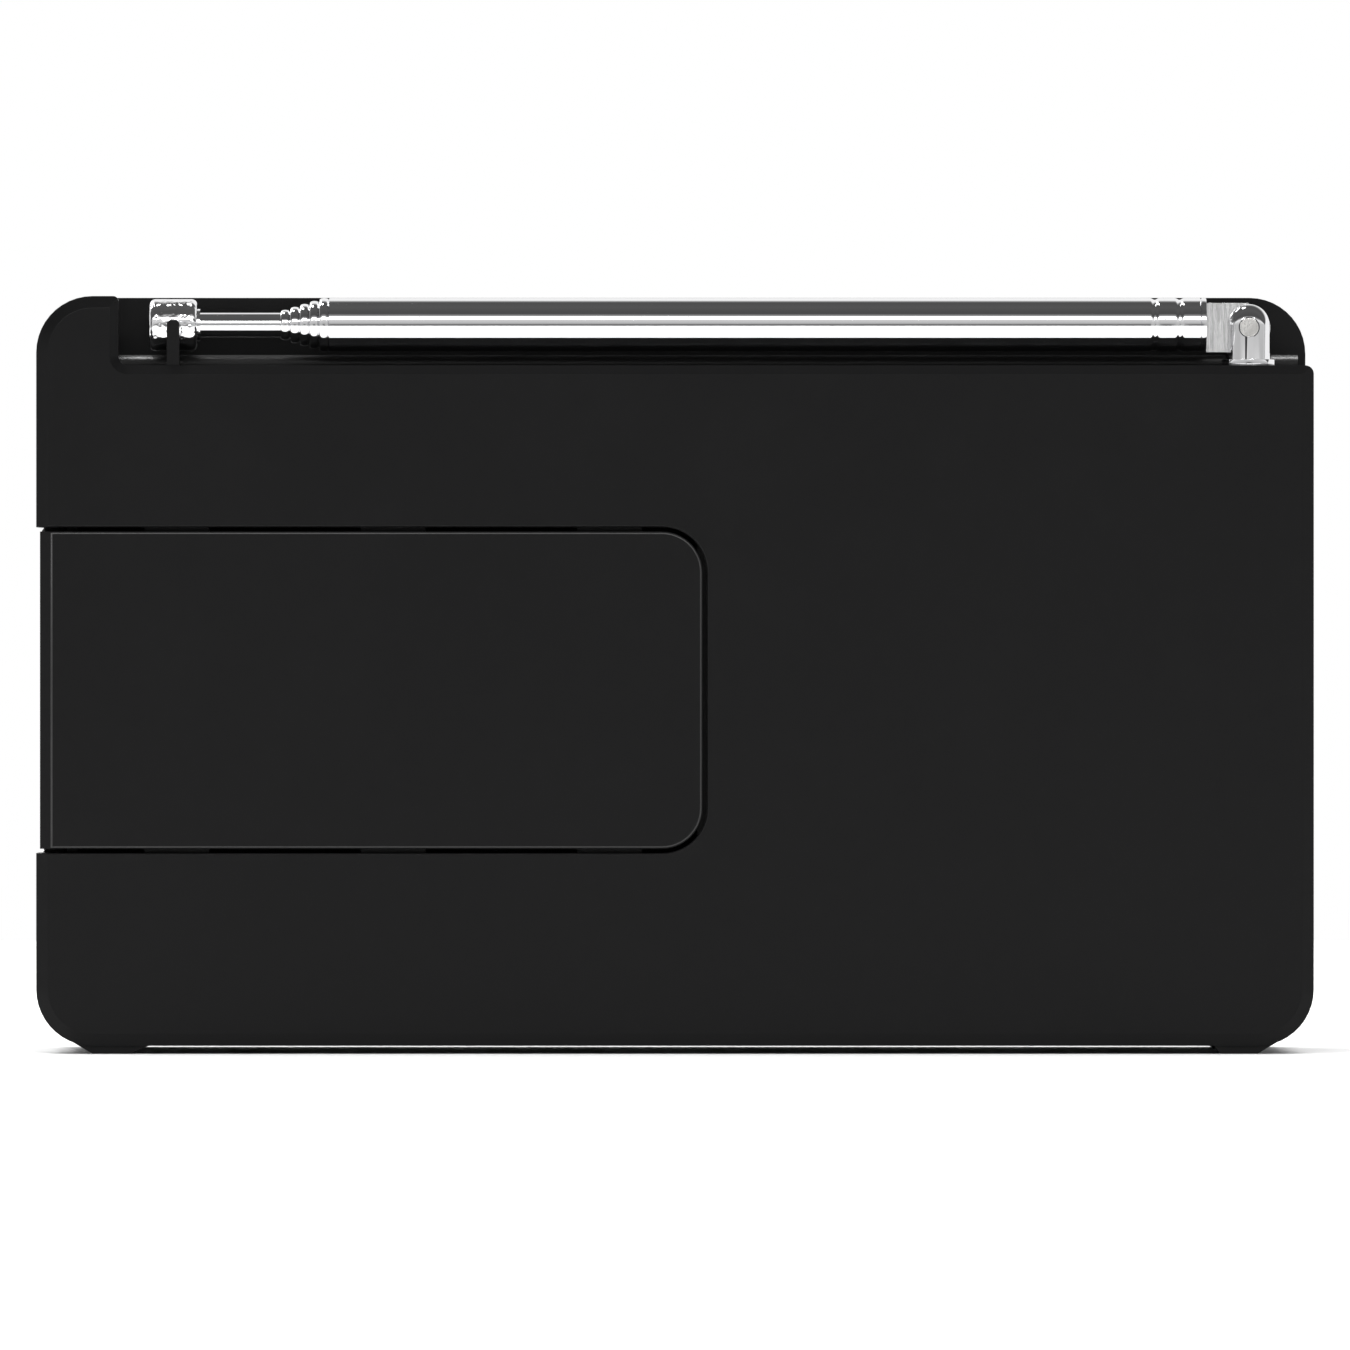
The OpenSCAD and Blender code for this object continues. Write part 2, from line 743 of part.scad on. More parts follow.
module speaker_cone() {
  outer = speaker_r - 4.1;
  color([0.12, 0.12, 0.13])
    about_speaker()
      rotate_extrude()
        polygon([
          [0, 3.0], [3.2, 3.4], [5.6, 4.6], [outer - 3.4, cone_gap + 0.7],
          [outer - 2.4, cone_gap + 0.3], [outer - 1, cone_gap], [outer, cone_gap + 0.5],
          [outer - 0.3, cone_gap + 0.8], [outer - 1, cone_gap + 0.4],
          [outer - 2.2, cone_gap + 0.8], [outer - 3.2, cone_gap + 1.2],
          [6.1, 5.4], [6.1, 8.4], [5.7, 8.4], [5.7, 5.2], [3.0, 3.8], [0, 3.4]
        ]);
}

module speaker_magnet() {
  back = speaker_depth - magnet_t;
  color([0.35, 0.35, 0.36])
    about_speaker()
      difference() {
        union() {
          translate([0, 0, back])
            cylinder(r = magnet_r, h = magnet_t - 1);
          translate([0, 0, back + magnet_t - 1 - join])
            cylinder(r = magnet_r + 0.8, h = 1 + join);
        }
        translate([0, 0, back - over])
          difference() {
            cylinder(r = 6.6, h = magnet_t);
            cylinder(r = 5.2, h = magnet_t + over);
          }
      }
}

module speaker_screws() {
  color([0.7, 0.7, 0.68])
    for (a = speaker_screw_angles)
      screw_y(speaker_x + speaker_screw_r * cos(a), speaker_z + speaker_screw_r * sin(a),
              front_in_y + flange_t, 3, 1, 1.6);
}

// ---- dial, wheels and switch ----

module dial_lens() {
  color([0.75, 0.78, 0.8, 0.4])
    slab(front_y, front_y + lens_t)
      round_rect(window_x0, window_x1, window_z - window_h / 2, window_z + window_h / 2, window_r);
}

module dial_pointer() {
  color([0.8, 0.12, 0.1])
    block(window_x0 + 1.4, window_x0 + 7.4, front_y + lens_t, front_y + lens_t + 0.2,
          window_z - 0.25, window_z + 0.25);
}

module dial_disc() {
  color([0.08, 0.08, 0.08])
    difference() {
      rod_along_y(tune_x, tune_z, tune_r - 0.8, tune_back - web_t - disc_t, tune_back - web_t);
      rod_along_y(tune_x, tune_z, 2.4, tune_back - web_t - disc_t - over, tune_back);
    }
}

module tuning_wheel() {
  front = tune_back - web_t;
  color([0.1, 0.1, 0.1])
    difference() {
      slab(front, front + rim_d)
        translate([tune_x, tune_z])
          knurled(tune_r, 72, 0.35);
      rod_along_y(tune_x, tune_z, tune_r - 2.2, tune_back, front + rim_d + over);
      rod_along_y(tune_x, tune_z, screw_r + screw_clear, front - over, tune_back + over);
    }
}

module tuning_shaft() {
  color([0.85, 0.8, 0.6])
    difference() {
      rod_along_y(tune_x, tune_z, shaft_r, tune_back, board_front - 2);
      rod_along_y(tune_x, tune_z, screw_r + 0.02, tune_back - over, board_front - 2.4);
    }
}

module tuning_screw() {
  color([0.75, 0.75, 0.73])
    mirror([0, 1, 0])
      screw_y(tune_x, tune_z, -(tune_back - web_t), 2.1, 0.7, 4);
}

module tuning_capacitor() {
  color([0.9, 0.9, 0.86])
    difference() {
      slab(board_front - cap_t, board_front)
        round_rect(tune_x - cap_w / 2, tune_x + cap_w / 2, tune_z - cap_w / 2,
                   tune_z + cap_w / 2, 1);
      rod_along_y(tune_x, tune_z, shaft_r + turn_clear, board_front - cap_t - over,
                  board_front - 1.95);
    }
}

module volume_wheel() {
  color([0.1, 0.1, 0.1])
    difference() {
      slab(vol_back - vol_t, vol_back)
        translate([vol_x, vol_z])
          knurled(vol_r, 56, 0.35);
      rod_along_y(vol_x, vol_z, vol_r - 2, vol_back - vol_t - over, vol_back - vol_t + 0.6);
      rod_along_y(vol_x, vol_z, screw_r + screw_clear, vol_back - vol_t - over, vol_back + over);
    }
}

module volume_shaft() {
  color([0.8, 0.8, 0.78])
    difference() {
      rod_along_y(vol_x, vol_z, 2, vol_back, board_front - 0.6);
      rod_along_y(vol_x, vol_z, screw_r + 0.02, vol_back - over, board_front - 1);
    }
}

module volume_screw() {
  color([0.75, 0.75, 0.73])
    mirror([0, 1, 0])
      screw_y(vol_x, vol_z, -(vol_back - vol_t + 0.6), 1.9, 0.6, 4);
}

module volume_control() {
  color([0.3, 0.27, 0.22])
    difference() {
      rod_along_y(vol_x, vol_z, pot_r, board_front - pot_t, board_front);
      rod_along_y(vol_x, vol_z, 2 + turn_clear, board_front - pot_t - over, board_front - 0.55);
    }
}

module band_switch_knob() {
  top = front_y + 0.1;
  x = band_x - band_travel / 2;
  color([0.75, 0.75, 0.75]) {
    difference() {
      slab(top, front_y + 0.9)
        round_rect(x - 2.2, x + 2.2, band_z - 2, band_z + 2, 0.5);
      for (i = [-2 : 2])
        block(x + i * 0.8 - 0.15, x + i * 0.8 + 0.15, top - over, top + 0.3, band_z - 3, band_z + 3);
    }
    block(x - 1, x + 1, front_y + 0.9 - join, board_front - 2.4, band_z - 0.9, band_z + 0.9);
  }
}

module band_switch() {
  color([0.72, 0.73, 0.74])
    difference() {
      block(band_x - 6, band_x + 6, board_front - 4.2, board_front, band_z - 3, band_z + 3);
      block(band_x - 3.6, band_x + 3.6, board_front - 4.2 - over, board_front - 2.2,
            band_z - 1, band_z + 1);
    }
}

module power_led() {
  color([0.8, 0.15, 0.12])
    union() {
      rod_along_y(band_x - 7, body_h - 11, 1.2, front_y + 0.9, board_front - 2);
      translate([band_x - 7, front_y + 1.2, body_h - 11])
        sphere(r = 1.2);
      rod_along_y(band_x - 7, body_h - 11, 1.6, board_front - 2 - join, board_front);
    }
}

// ---- circuit board ----

module circuit_board() {
  color([0.55, 0.42, 0.2])
    difference() {
      block(board_x0, board_x1, board_front, board_y, board_z0, board_z1);
      for (p = board_holes)
        rod_along_y(p[0], p[1], screw_r + 0.2, board_front - over, board_y + over);
      for (x = case_screw_xs)
        rod_along_y(open_x + x, door_z, screw_r + 0.4, board_front - over, board_y + over);
    }
}

module radio_chip() {
  x = open_x + 20;
  z = door_z + 12;
  color([0.1, 0.1, 0.1])
    block(x - 5, x + 5, board_front - 2.2, board_front - 0.4, z - 2.2, z + 2.2);
  color([0.75, 0.75, 0.72])
    for (i = [-4 : 4], side = [-1, 1])
      block(x + i * 1.1 - 0.2, x + i * 1.1 + 0.2, board_front - 1.2, board_front,
            side > 0 ? z + 2.2 - join : z - 3.2, side > 0 ? z + 3.2 : z - 2.2 + join);
}

module resistors() {
  color([0.8, 0.68, 0.45])
    for (i = [0 : 5]) {
      x = open_x + 5 + 4.2 * i;
      z = door_z - 10;
      translate([x, board_front - 1.1, z - 2])
        cylinder(r = 0.9, h = 4);
      for (side = [-1, 1]) {
        translate([x, board_front - 1.1, z + side * 2.4 - 0.6])
          cylinder(r = 0.25, h = 1.2);
        rod_along_y(x, z + side * 3, 0.25, board_front - 1.1, board_front);
      }
    }
}

module electrolytic_capacitors() {
  color([0.12, 0.16, 0.32])
    for (x = [11, 20, 29])
      rod_along_y(open_x + x, board_z0 + 6.5, 3, board_y, board_y + 9);
}

module if_transformers() {
  color([0.8, 0.8, 0.78])
    for (x = [46, 54])
      difference() {
        block(open_x + x - 3.5, open_x + x + 3.5, board_y, board_y + 8.5,
              board_z0 + 3, board_z0 + 10);
        rod_along_y(open_x + x, board_z0 + 6.5, 1.6, board_y + 6.5, board_y + 9.5);
      }
}

// Small air-cored coils standing off the front of the board
module air_coils() {
  color([0.75, 0.42, 0.2])
    for (x = [6, 15]) {
      turns = 4;
      steps = 14;
      path = [
        for (i = [0 : turns * steps])
          [open_x + x + 5.4 * i / (turns * steps), board_front - 2.6 + 1.9 * cos(360 * i / steps),
           board_z1 - 12 + 1.9 * sin(360 * i / steps)]
      ];
      swept_tube(path, 0.3, 6, [1, 0, 0]);
    }
}

module ferrite_rod() {
  color([0.2, 0.2, 0.21])
    rod_along_x(rod_x0, rod_x0 + rod_l, rod_y, rod_z, rod_d / 2);
}

module rod_coil() {
  color([0.72, 0.4, 0.22])
    difference() {
      rod_along_x(rod_x0 + 13, rod_x0 + 29, rod_y, rod_z, rod_d / 2 + 0.8);
      rod_along_x(rod_x0 + 12, rod_x0 + 30, rod_y, rod_z, rod_d / 2 + 0.05);
    }
}

module rod_holders() {
  color([0.85, 0.85, 0.8])
    for (x = [8.5, rod_l - 8])
      difference() {
        block(rod_x0 + x, rod_x0 + x + 4, board_y, rod_y + rod_d * 0.3,
              rod_z - rod_d / 2 - 1.2, rod_z + rod_d / 2 + 1.2);
        rod_along_x(rod_x0 + x - over, rod_x0 + x + 4 + over, rod_y, rod_z, rod_d / 2 + 0.05);
      }
}

module earphone_jack() {
  x1 = -cab_in;
  color([0.1, 0.1, 0.1])
    difference() {
      union() {
        rod_along_x(-cab_half + 0.1, x1 + 0.5, jack_y, jack_z, jack_collar_r);
        block(x1 + 0.02, x1 + jack_depth, jack_y - 4, jack_y + 4, jack_z - 4, jack_z + 4);
      }
      rod_along_x(-cab_half - over, -cab_half + 0.1 + jack_depth, jack_y, jack_z, jack_r);
    }
}

module jack_nut() {
  color([0.7, 0.7, 0.7])
    translate([-cab_half + 0.1, jack_y, jack_z])
      rotate([0, 90, 0])
        difference() {
          cylinder(r = jack_collar_r + 1.1, h = 0.8);
          translate([0, 0, -over])
            cylinder(r = jack_collar_r + 0.05, h = 3);
          for (a = [0, 90])
            rotate([0, 0, a])
              translate([0, 0, -0.2])
                cube([3 * jack_collar_r, 0.8, 0.8], center = true);
        }
}

module board_screws() {
  color([0.75, 0.75, 0.73])
    for (p = board_holes)
      screw_y(p[0], p[1], board_y, head_r, 1.2, 5.5);
}

module case_screws() {
  color([0.3, 0.3, 0.3])
    for (x = case_screw_xs)
      screw_y(open_x + x, door_z, tub_y, 2.2, 1.3, tub_y - board_front + 6);
}

// ---- battery contacts and cells ----

module terminal(z) {
  block(open_x, open_x + contact_t, cell_y - 4.4, cell_y + 4.4,
        z - terminal_half, z + terminal_half);
  block(open_x - tub_wall - 0.3, open_x + join, cell_y - 5.05, cell_y - 4.75, z - 1.5, z + 1.5);
  block(open_x, open_x + contact_t, cell_y - 5.05, cell_y - 4.3, z - 1.5, z + 1.5);
  block(open_x - tub_wall - 0.5, open_x - tub_wall - 0.2, board_front, cell_y - 4.75,
        z - 1.5, z + 1.5);
}

module negative_terminal() {
  color([0.78, 0.78, 0.75])
    terminal(upper_z);
}

module positive_terminal() {
  color([0.78, 0.78, 0.75])
    terminal(lower_z);
}

module contact_strip() {
  color([0.78, 0.78, 0.75])
    difference() {
      block(tub_in_x1 - contact_t, tub_in_x1, cell_y - 4.6, cell_y + 4.4,
            lower_z - 5, upper_z + 5);
      block(tub_in_x1 - contact_t - over, tub_in_x1 + over, cell_y - 1, cell_y + 5,
            door_z - 1, door_z + 1);
    }
}

// A cell spring: closed end turns against its plate, narrowing towards the cell
module cell_spring(x, z, dir) {
  turns = 5;
  steps = 18;
  wire = 0.4;
  length = spring_l - 2 * wire - 0.04;
  path = [
    for (i = [0 : turns * steps])
      let (f = i / (turns * steps), r = spring_r * (1 - 0.32 * f))
        [x + dir * (wire + 0.02 + length * f), cell_y + r * cos(360 * i / steps),
         z + r * sin(360 * i / steps)]
  ];
  swept_tube(path, wire, 6, [dir, 0, 0]);
}

module battery_springs() {
  color([0.8, 0.8, 0.78]) {
    cell_spring(open_x + contact_t, upper_z, 1);
    cell_spring(tub_in_x1 - contact_t, lower_z, -1);
  }
}

// A cell lying along X with its button at the end that dir points to
module cell(x_end, z, dir) {
  button_l = 1.3;
  body_l = cell_l - button_l;
  translate([x_end, cell_y, z])
    rotate([0, dir > 0 ? -90 : 90, 0])
      union() {
        cylinder(r = 2.75, h = button_l + join);
        translate([0, 0, button_l])
          rotate_extrude()
            polygon([
              [0, 0], [cell_r - 0.8, 0], [cell_r - 0.2, 0.2], [cell_r, 0.8],
              [cell_r, body_l - 0.4], [cell_r - 0.4, body_l], [0, body_l]
            ]);
      }
}

module upper_cell() {
  color([0.2, 0.35, 0.3])
    cell(tub_in_x1 - contact_t, upper_z, 1);
}

module lower_cell() {
  color([0.2, 0.35, 0.3])
    cell(open_x + contact_t, lower_z, -1);
}

// ---- antenna ----

module antenna_knuckle() {
  color([0.8, 0.8, 0.8])
    difference() {
      translate([knuckle_x, ant_y, 0])
        union() {
          translate([0, 0, floor_z])
            cylinder(r = flange_r, h = base_flange_t);
          translate([0, 0, floor_z + base_flange_t - join])
            cylinder(r = knuckle_r, h = ant_z - floor_z - base_flange_t + join);
          translate([0, 0, ant_z])
            sphere(r = knuckle_r);
          translate([0, 0, floor_z - wall - 2])
            cylinder(d = spindle_d, h = wall + 2 + join);
        }
      block(knuckle_x - 3, knuckle_x + 3, ant_y - slot_w / 2, ant_y + slot_w / 2,
            pin_z - blade_h / 2 - 0.1, ant_z + 3);
      rod_along_y(knuckle_x, pin_z, tilt_pin_d / 2, ant_y - 3, ant_y + 3);
      block(seam_x, seam_x + seam_w, ant_y + knuckle_r - 0.25, ant_y + knuckle_r + over,
            floor_z + base_flange_t, pin_z);
    }
}

module antenna_pin() {
  half = knuckle_r - 0.02;
  color([0.75, 0.75, 0.75])
    rod_along_y(knuckle_x, pin_z, tilt_pin_d / 2, ant_y - half, ant_y + half);
}

module antenna_clip() {
  color([0.6, 0.6, 0.58])
    translate([knuckle_x, ant_y, floor_z - wall - 1.9])
      difference() {
        cylinder(r = 2.3, h = 0.5);
        translate([0, 0, -over])
          cylinder(d = spindle_d, h = 3);
        translate([0, -0.6, -over])
          cube([3, 1.2, 3]);
      }
}

module antenna_lug() {
  z1 = floor_z - wall - 0.4;
  color([0.75, 0.7, 0.5])
    difference() {
      union() {
        translate([knuckle_x, ant_y, z1 - lug_t])
          cylinder(r = 2.4, h = lug_t);
        block(knuckle_x + 1.5, knuckle_x + 7, ant_y - 1.2, ant_y + 1.2, z1 - lug_t, z1);
      }
      translate([knuckle_x, ant_y, z1 - 3])
        cylinder(d = spindle_d + 2 * turn_clear, h = 5);
    }
}

module antenna_blade() {
  color([0.78, 0.78, 0.78])
    difference() {
      union() {
        rod_along_y(knuckle_x, pin_z, knuckle_r - 0.1, ant_y - blade_t / 2, ant_y + blade_t / 2);
        block(knuckle_x, tube_x0 + join, ant_y - blade_t / 2, ant_y + blade_t / 2,
              pin_z - blade_h / 2, pin_z + blade_h / 2);
        translate([tube_x0, ant_y, ant_z])
          rotate([0, 90, 0])
            rotate_extrude()
              polygon([
                [0, 0], [bore_r(0), 0],
                for (c = crimps)
                  each [
                    [bore_r(0), c - tube_x0 - 0.35], [bore_r(0) - crimp_d, c - tube_x0],
                    [bore_r(0), c - tube_x0 + 0.35]
                  ],
                [bore_r(0), plug_l], [0, plug_l]
              ]);
      }
      rod_along_y(knuckle_x, pin_z, tilt_pin_d / 2 + turn_clear, ant_y - 3, ant_y + 3);
    }
}

// Section n of the antenna: 0 is the widest. Profile turned about the antenna's axis.
module antenna_section(n) {
  r = tube_r(n);
  b = bore_r(n);
  x0 = sec_x0(n);
  x1 = sec_x1(n);
  mouth = tube_r(n + 1) + mouth_clear;
  bush = n == 0 ? r : bore_r(n - 1) - mouth_clear;
  crimp_points = n == 0 ? [for (c = crimps) each [[r, c - 0.35], [r - crimp_d, c], [r, c + 0.35]]] : [];
  inner_crimps = n == 0 ? [
    for (i = [1 : -1 : 0])
      each [[b, crimps[i] + 0.35], [b - crimp_d, crimps[i]], [b, crimps[i] - 0.35]]
  ] : [];
  points = concat(
    n == 0 ? [[r - 0.12, x0], [r, x0 + 0.12]] : [[bush, x0], [bush, x0 + bush_l], [r, x0 + bush_l + 0.2]],
    crimp_points,
    [[r, x1 - 0.35], [r - 0.05, x1 - 0.15], [r - 0.15, x1], [mouth, x1], [mouth, x1 - mouth_l + 0.2],
     [b, x1 - mouth_l]],
    inner_crimps,
    [[b, x0]]
  );
  color([0.82, 0.82, 0.83])
    translate([0, ant_y, ant_z])
      rotate([0, 90, 0])
        rotate_extrude()
          polygon(points);
}

module antenna_tube_1() {
  antenna_section(0);
}

module antenna_tube_2() {
  antenna_section(1);
}

module antenna_tube_3() {
  antenna_section(2);
}

module antenna_tube_4() {
  antenna_section(3);
}

module antenna_tube_5() {
  antenna_section(4);
}

module antenna_rod() {
  x0 = sec_x0(5);
  color([0.82, 0.82, 0.83]) {
    rod_along_x(x0, rod_x1 + 2, ant_y, ant_z, tube_r(5));
    rod_along_x(x0, x0 + bush_l, ant_y, ant_z, bore_r(4) - mouth_clear);
  }
}

module antenna_tip() {
  r = tip_d / 2;
  color([0.82, 0.82, 0.83])
    translate([rod_x1, ant_y, ant_z])
      rotate([0, 90, 0])
        difference() {
          rotate_extrude()
            polygon([
              [0, -0.25], [tube_r(5) + 0.25, -0.25], [tube_r(5) + 0.35, 0], [r - 0.4, 0],
              [r - 0.12, 0.12], [r, 0.4], [r, tip_l - 0.4], [r - 0.12, tip_l - 0.12],
              [r - 0.4, tip_l], [0, tip_l]
            ]);
          translate([0, 0, -over])
            cylinder(r = tube_r(5), h = over + 2);
        }
}

// ---- wiring ----

module antenna_wire() {
  z = floor_z - wall - 0.4 - lug_t - wire_d / 2;
  x1 = board_x0 + 1.8;
  path = concat(smooth_path([
    [knuckle_x + 5.2, ant_y, z],
    [knuckle_x + 9, ant_y - 0.5, z - 0.5],
    [knuckle_x + 20, part_y - 1, z - 1],
    [knuckle_x + 34, part_y - 4, z - 1.5],
    [board_x0 - 3, board_y + 5, z - 2],
    [x1, board_y + 1, z - 2.5]
  ], 5), [[x1, board_y, z - 2.5]]);
  color([0.9, 0.9, 0.88])
    swept_tube(path, wire_d / 2, 8, [0, 0, 1]);
}

module speaker_wires() {
  x1 = board_x0 + 1.8;
  color([0.7, 0.15, 0.12])
    for (dz = [0, 4])
      swept_tube(concat(smooth_path([
        [speaker_x + 15.5, speaker_y + 7.5, speaker_z - 13 + dz],
        [speaker_x + 18, speaker_y + 9, speaker_z - 13 + dz],
        [speaker_x + 23, board_y + 5, speaker_z - 17 + dz],
        [board_x0 - 0.5, board_y + 4.5, board_z0 + 7 + 0.7 * dz],
        [x1, board_y + 1, board_z0 + 5 + 0.7 * dz]
      ], 4), [[x1, board_y, board_z0 + 5 + 0.7 * dz]]), wire_d / 2, 8, [0, 0, 1]);
}

front_cabinet();
rear_cover();
battery_door();
speaker_grille();
speaker_frame();
speaker_cone();
speaker_magnet();
speaker_screws();
dial_lens();
dial_pointer();
dial_disc();
tuning_wheel();
tuning_shaft();
tuning_screw();
tuning_capacitor();
volume_wheel();
volume_shaft();
volume_screw();
volume_control();
band_switch_knob();
band_switch();
power_led();
circuit_board();
radio_chip();
resistors();
electrolytic_capacitors();
if_transformers();
air_coils();
ferrite_rod();
rod_coil();
rod_holders();
earphone_jack();
jack_nut();
board_screws();
case_screws();
negative_terminal();
positive_terminal();
contact_strip();
battery_springs();
upper_cell();
lower_cell();
antenna_knuckle();
antenna_pin();
antenna_clip();
antenna_lug();
antenna_blade();
antenna_tube_1();
antenna_tube_2();
antenna_tube_3();
antenna_tube_4();
antenna_tube_5();
antenna_rod();
antenna_tip();
antenna_wire();
speaker_wires();
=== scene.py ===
import json
import math
import bpy
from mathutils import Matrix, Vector


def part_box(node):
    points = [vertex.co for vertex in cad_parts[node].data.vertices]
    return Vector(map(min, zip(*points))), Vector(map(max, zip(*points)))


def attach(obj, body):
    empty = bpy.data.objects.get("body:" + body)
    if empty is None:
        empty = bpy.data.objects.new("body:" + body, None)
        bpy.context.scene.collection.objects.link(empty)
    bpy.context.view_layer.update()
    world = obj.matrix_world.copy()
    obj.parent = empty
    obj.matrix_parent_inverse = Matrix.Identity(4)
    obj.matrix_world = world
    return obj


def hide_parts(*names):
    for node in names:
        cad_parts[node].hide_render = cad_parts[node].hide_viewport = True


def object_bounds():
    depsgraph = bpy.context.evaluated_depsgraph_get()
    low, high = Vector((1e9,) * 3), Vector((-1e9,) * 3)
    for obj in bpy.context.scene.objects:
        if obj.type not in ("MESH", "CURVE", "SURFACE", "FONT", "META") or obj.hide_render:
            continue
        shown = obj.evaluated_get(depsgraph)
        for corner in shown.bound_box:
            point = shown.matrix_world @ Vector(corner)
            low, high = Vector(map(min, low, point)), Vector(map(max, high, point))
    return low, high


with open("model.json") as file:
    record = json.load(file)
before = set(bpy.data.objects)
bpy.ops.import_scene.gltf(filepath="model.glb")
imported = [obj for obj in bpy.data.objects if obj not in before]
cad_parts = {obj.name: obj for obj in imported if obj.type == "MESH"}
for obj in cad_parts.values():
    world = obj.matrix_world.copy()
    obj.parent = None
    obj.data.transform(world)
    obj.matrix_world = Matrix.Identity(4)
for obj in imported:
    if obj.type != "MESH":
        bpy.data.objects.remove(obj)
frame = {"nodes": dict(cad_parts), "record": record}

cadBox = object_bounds()
nodes = frame["nodes"]
mm = 0.001
flatness = 5e-6      # metres off a plane that still count as on it
weldDistance = 1e-6
weldAngle = 0.6      # degrees between faces that are joined into one


def pickOnly(piece):
    if bpy.context.object and bpy.context.object.mode != "OBJECT":
        bpy.ops.object.mode_set(mode="OBJECT")
    bpy.ops.object.select_all(action="DESELECT")
    piece.select_set(True)
    bpy.context.view_layer.objects.active = piece
    return piece


def applyModifier(piece, kind, **settings):
    pickOnly(piece)
    modifier = piece.modifiers.new(kind.title(), kind)
    for key, value in settings.items():
        setattr(modifier, key, value)
    bpy.ops.object.modifier_apply(modifier=modifier.name)


def smoothOff(piece, angle=30):
    pickOnly(piece)
    bpy.ops.object.shade_smooth_by_angle(angle=math.radians(angle))
    applyModifier(piece, "WEIGHTED_NORMAL", keep_sharp=True, weight=60)


def creasesOf(mesh, least):
    # the edges whose two faces meet at more than the least angle
    sides = {}
    for face in mesh.polygons:
        for key in face.edge_keys:
            sides.setdefault(key, []).append(face.normal)
    found = set()
    for edge in mesh.edges:
        pair = sides.get(edge.key, [])
        if len(pair) == 2 and pair[0].angle(pair[1], 0) > math.radians(least):
            found.add(edge.index)
    return found


def roundEdges(piece, test, width, segments=3, least=25, slot=-1):
    # width in millimetres, measured back from the edge on both faces
    pickOnly(piece)
    mesh = piece.data
    creases = creasesOf(mesh, least)
    for part in [*mesh.vertices, *mesh.edges, *mesh.polygons]:
        part.select = False
    for edge in mesh.edges:
        a, b = (mesh.vertices[i].co for i in edge.vertices)
        edge.select = edge.index in creases and test(a, b)
    bpy.context.tool_settings.mesh_select_mode = (False, True, False)
    bpy.ops.object.mode_set(mode="EDIT")
    bpy.ops.mesh.bevel(offset=width * mm, segments=segments, profile=0.5, clamp_overlap=True,
                       material=slot)
    bpy.ops.object.mode_set(mode="OBJECT")


def settle(piece, name):
    # the finished piece sits at the origin with its place in its mesh
    pickOnly(piece)
    bpy.ops.object.transform_apply(location=True, rotation=True, scale=True)
    piece.name = name
    piece.data.name = name
    return piece


def weldedCopy(nodeName, name):
    piece = bpy.data.objects.new(name, nodes[nodeName].data.copy())
    bpy.context.collection.objects.link(piece)
    pickOnly(piece)
    bpy.ops.mesh.customdata_custom_splitnormals_clear()
    bpy.ops.object.mode_set(mode="EDIT")
    bpy.ops.mesh.select_all(action="SELECT")
    bpy.ops.mesh.remove_doubles(threshold=weldDistance)
    bpy.ops.mesh.dissolve_limited(angle_limit=math.radians(weldAngle))
    bpy.ops.object.mode_set(mode="OBJECT")
    piece.data.materials.clear()
    return piece


def turnPiece(name, outline, centre, steps=96):
    # outline holds (distance along X, radius) from the centre, spun once round the X axis
    start = Vector(centre) + Vector((outline[0][0], 0, outline[0][1]))
    bpy.context.tool_settings.mesh_select_mode = (True, False, False)
    bpy.ops.object.select_all(action="DESELECT")
    bpy.ops.mesh.primitive_plane_add(size=mm, location=start)
    piece = bpy.context.object
    bpy.ops.object.mode_set(mode="EDIT")
    bpy.ops.mesh.select_all(action="SELECT")
    bpy.ops.mesh.merge(type="CENTER")
    for before, after in zip(outline, outline[1:]):
        step = (after[0] - before[0], 0, after[1] - before[1])
        bpy.ops.mesh.extrude_region_move(TRANSFORM_OT_translate={"value": step})
    bpy.ops.mesh.select_all(action="SELECT")
    bpy.ops.mesh.spin(steps=steps, angle=2 * math.pi, center=centre, axis=(1, 0, 0))
    bpy.ops.mesh.select_all(action="SELECT")
    bpy.ops.mesh.remove_doubles(threshold=weldDistance)
    bpy.ops.mesh.normals_make_consistent(inside=False)
    bpy.ops.object.mode_set(mode="OBJECT")
    return settle(piece, name)


cameraSetup = {"distance": 1.515, "height": 0.035, "lens": 433.3, "sensor": 36}
bpy.ops.object.select_all(action="DESELECT")
bpy.ops.object.camera_add(
    location=(0, cameraSetup["distance"], cameraSetup["height"]),
    rotation=(math.pi / 2, 0, math.pi),
)
camera = bpy.context.object
camera.name = "viewCamera"
camera.data.lens = cameraSetup["lens"]
camera.data.sensor_width = cameraSetup["sensor"]
camera.data.clip_end = 50
bpy.context.scene.camera = camera
bpy.context.scene.view_settings.view_transform = "Standard"

floorSetup = {"width": 3.4, "back": -0.62, "front": 0.76, "tone": (0.93, 0.93, 0.93),
              "shade": 0.985, "speckle": 40, "rough": 0.7, "specular": 0.2}


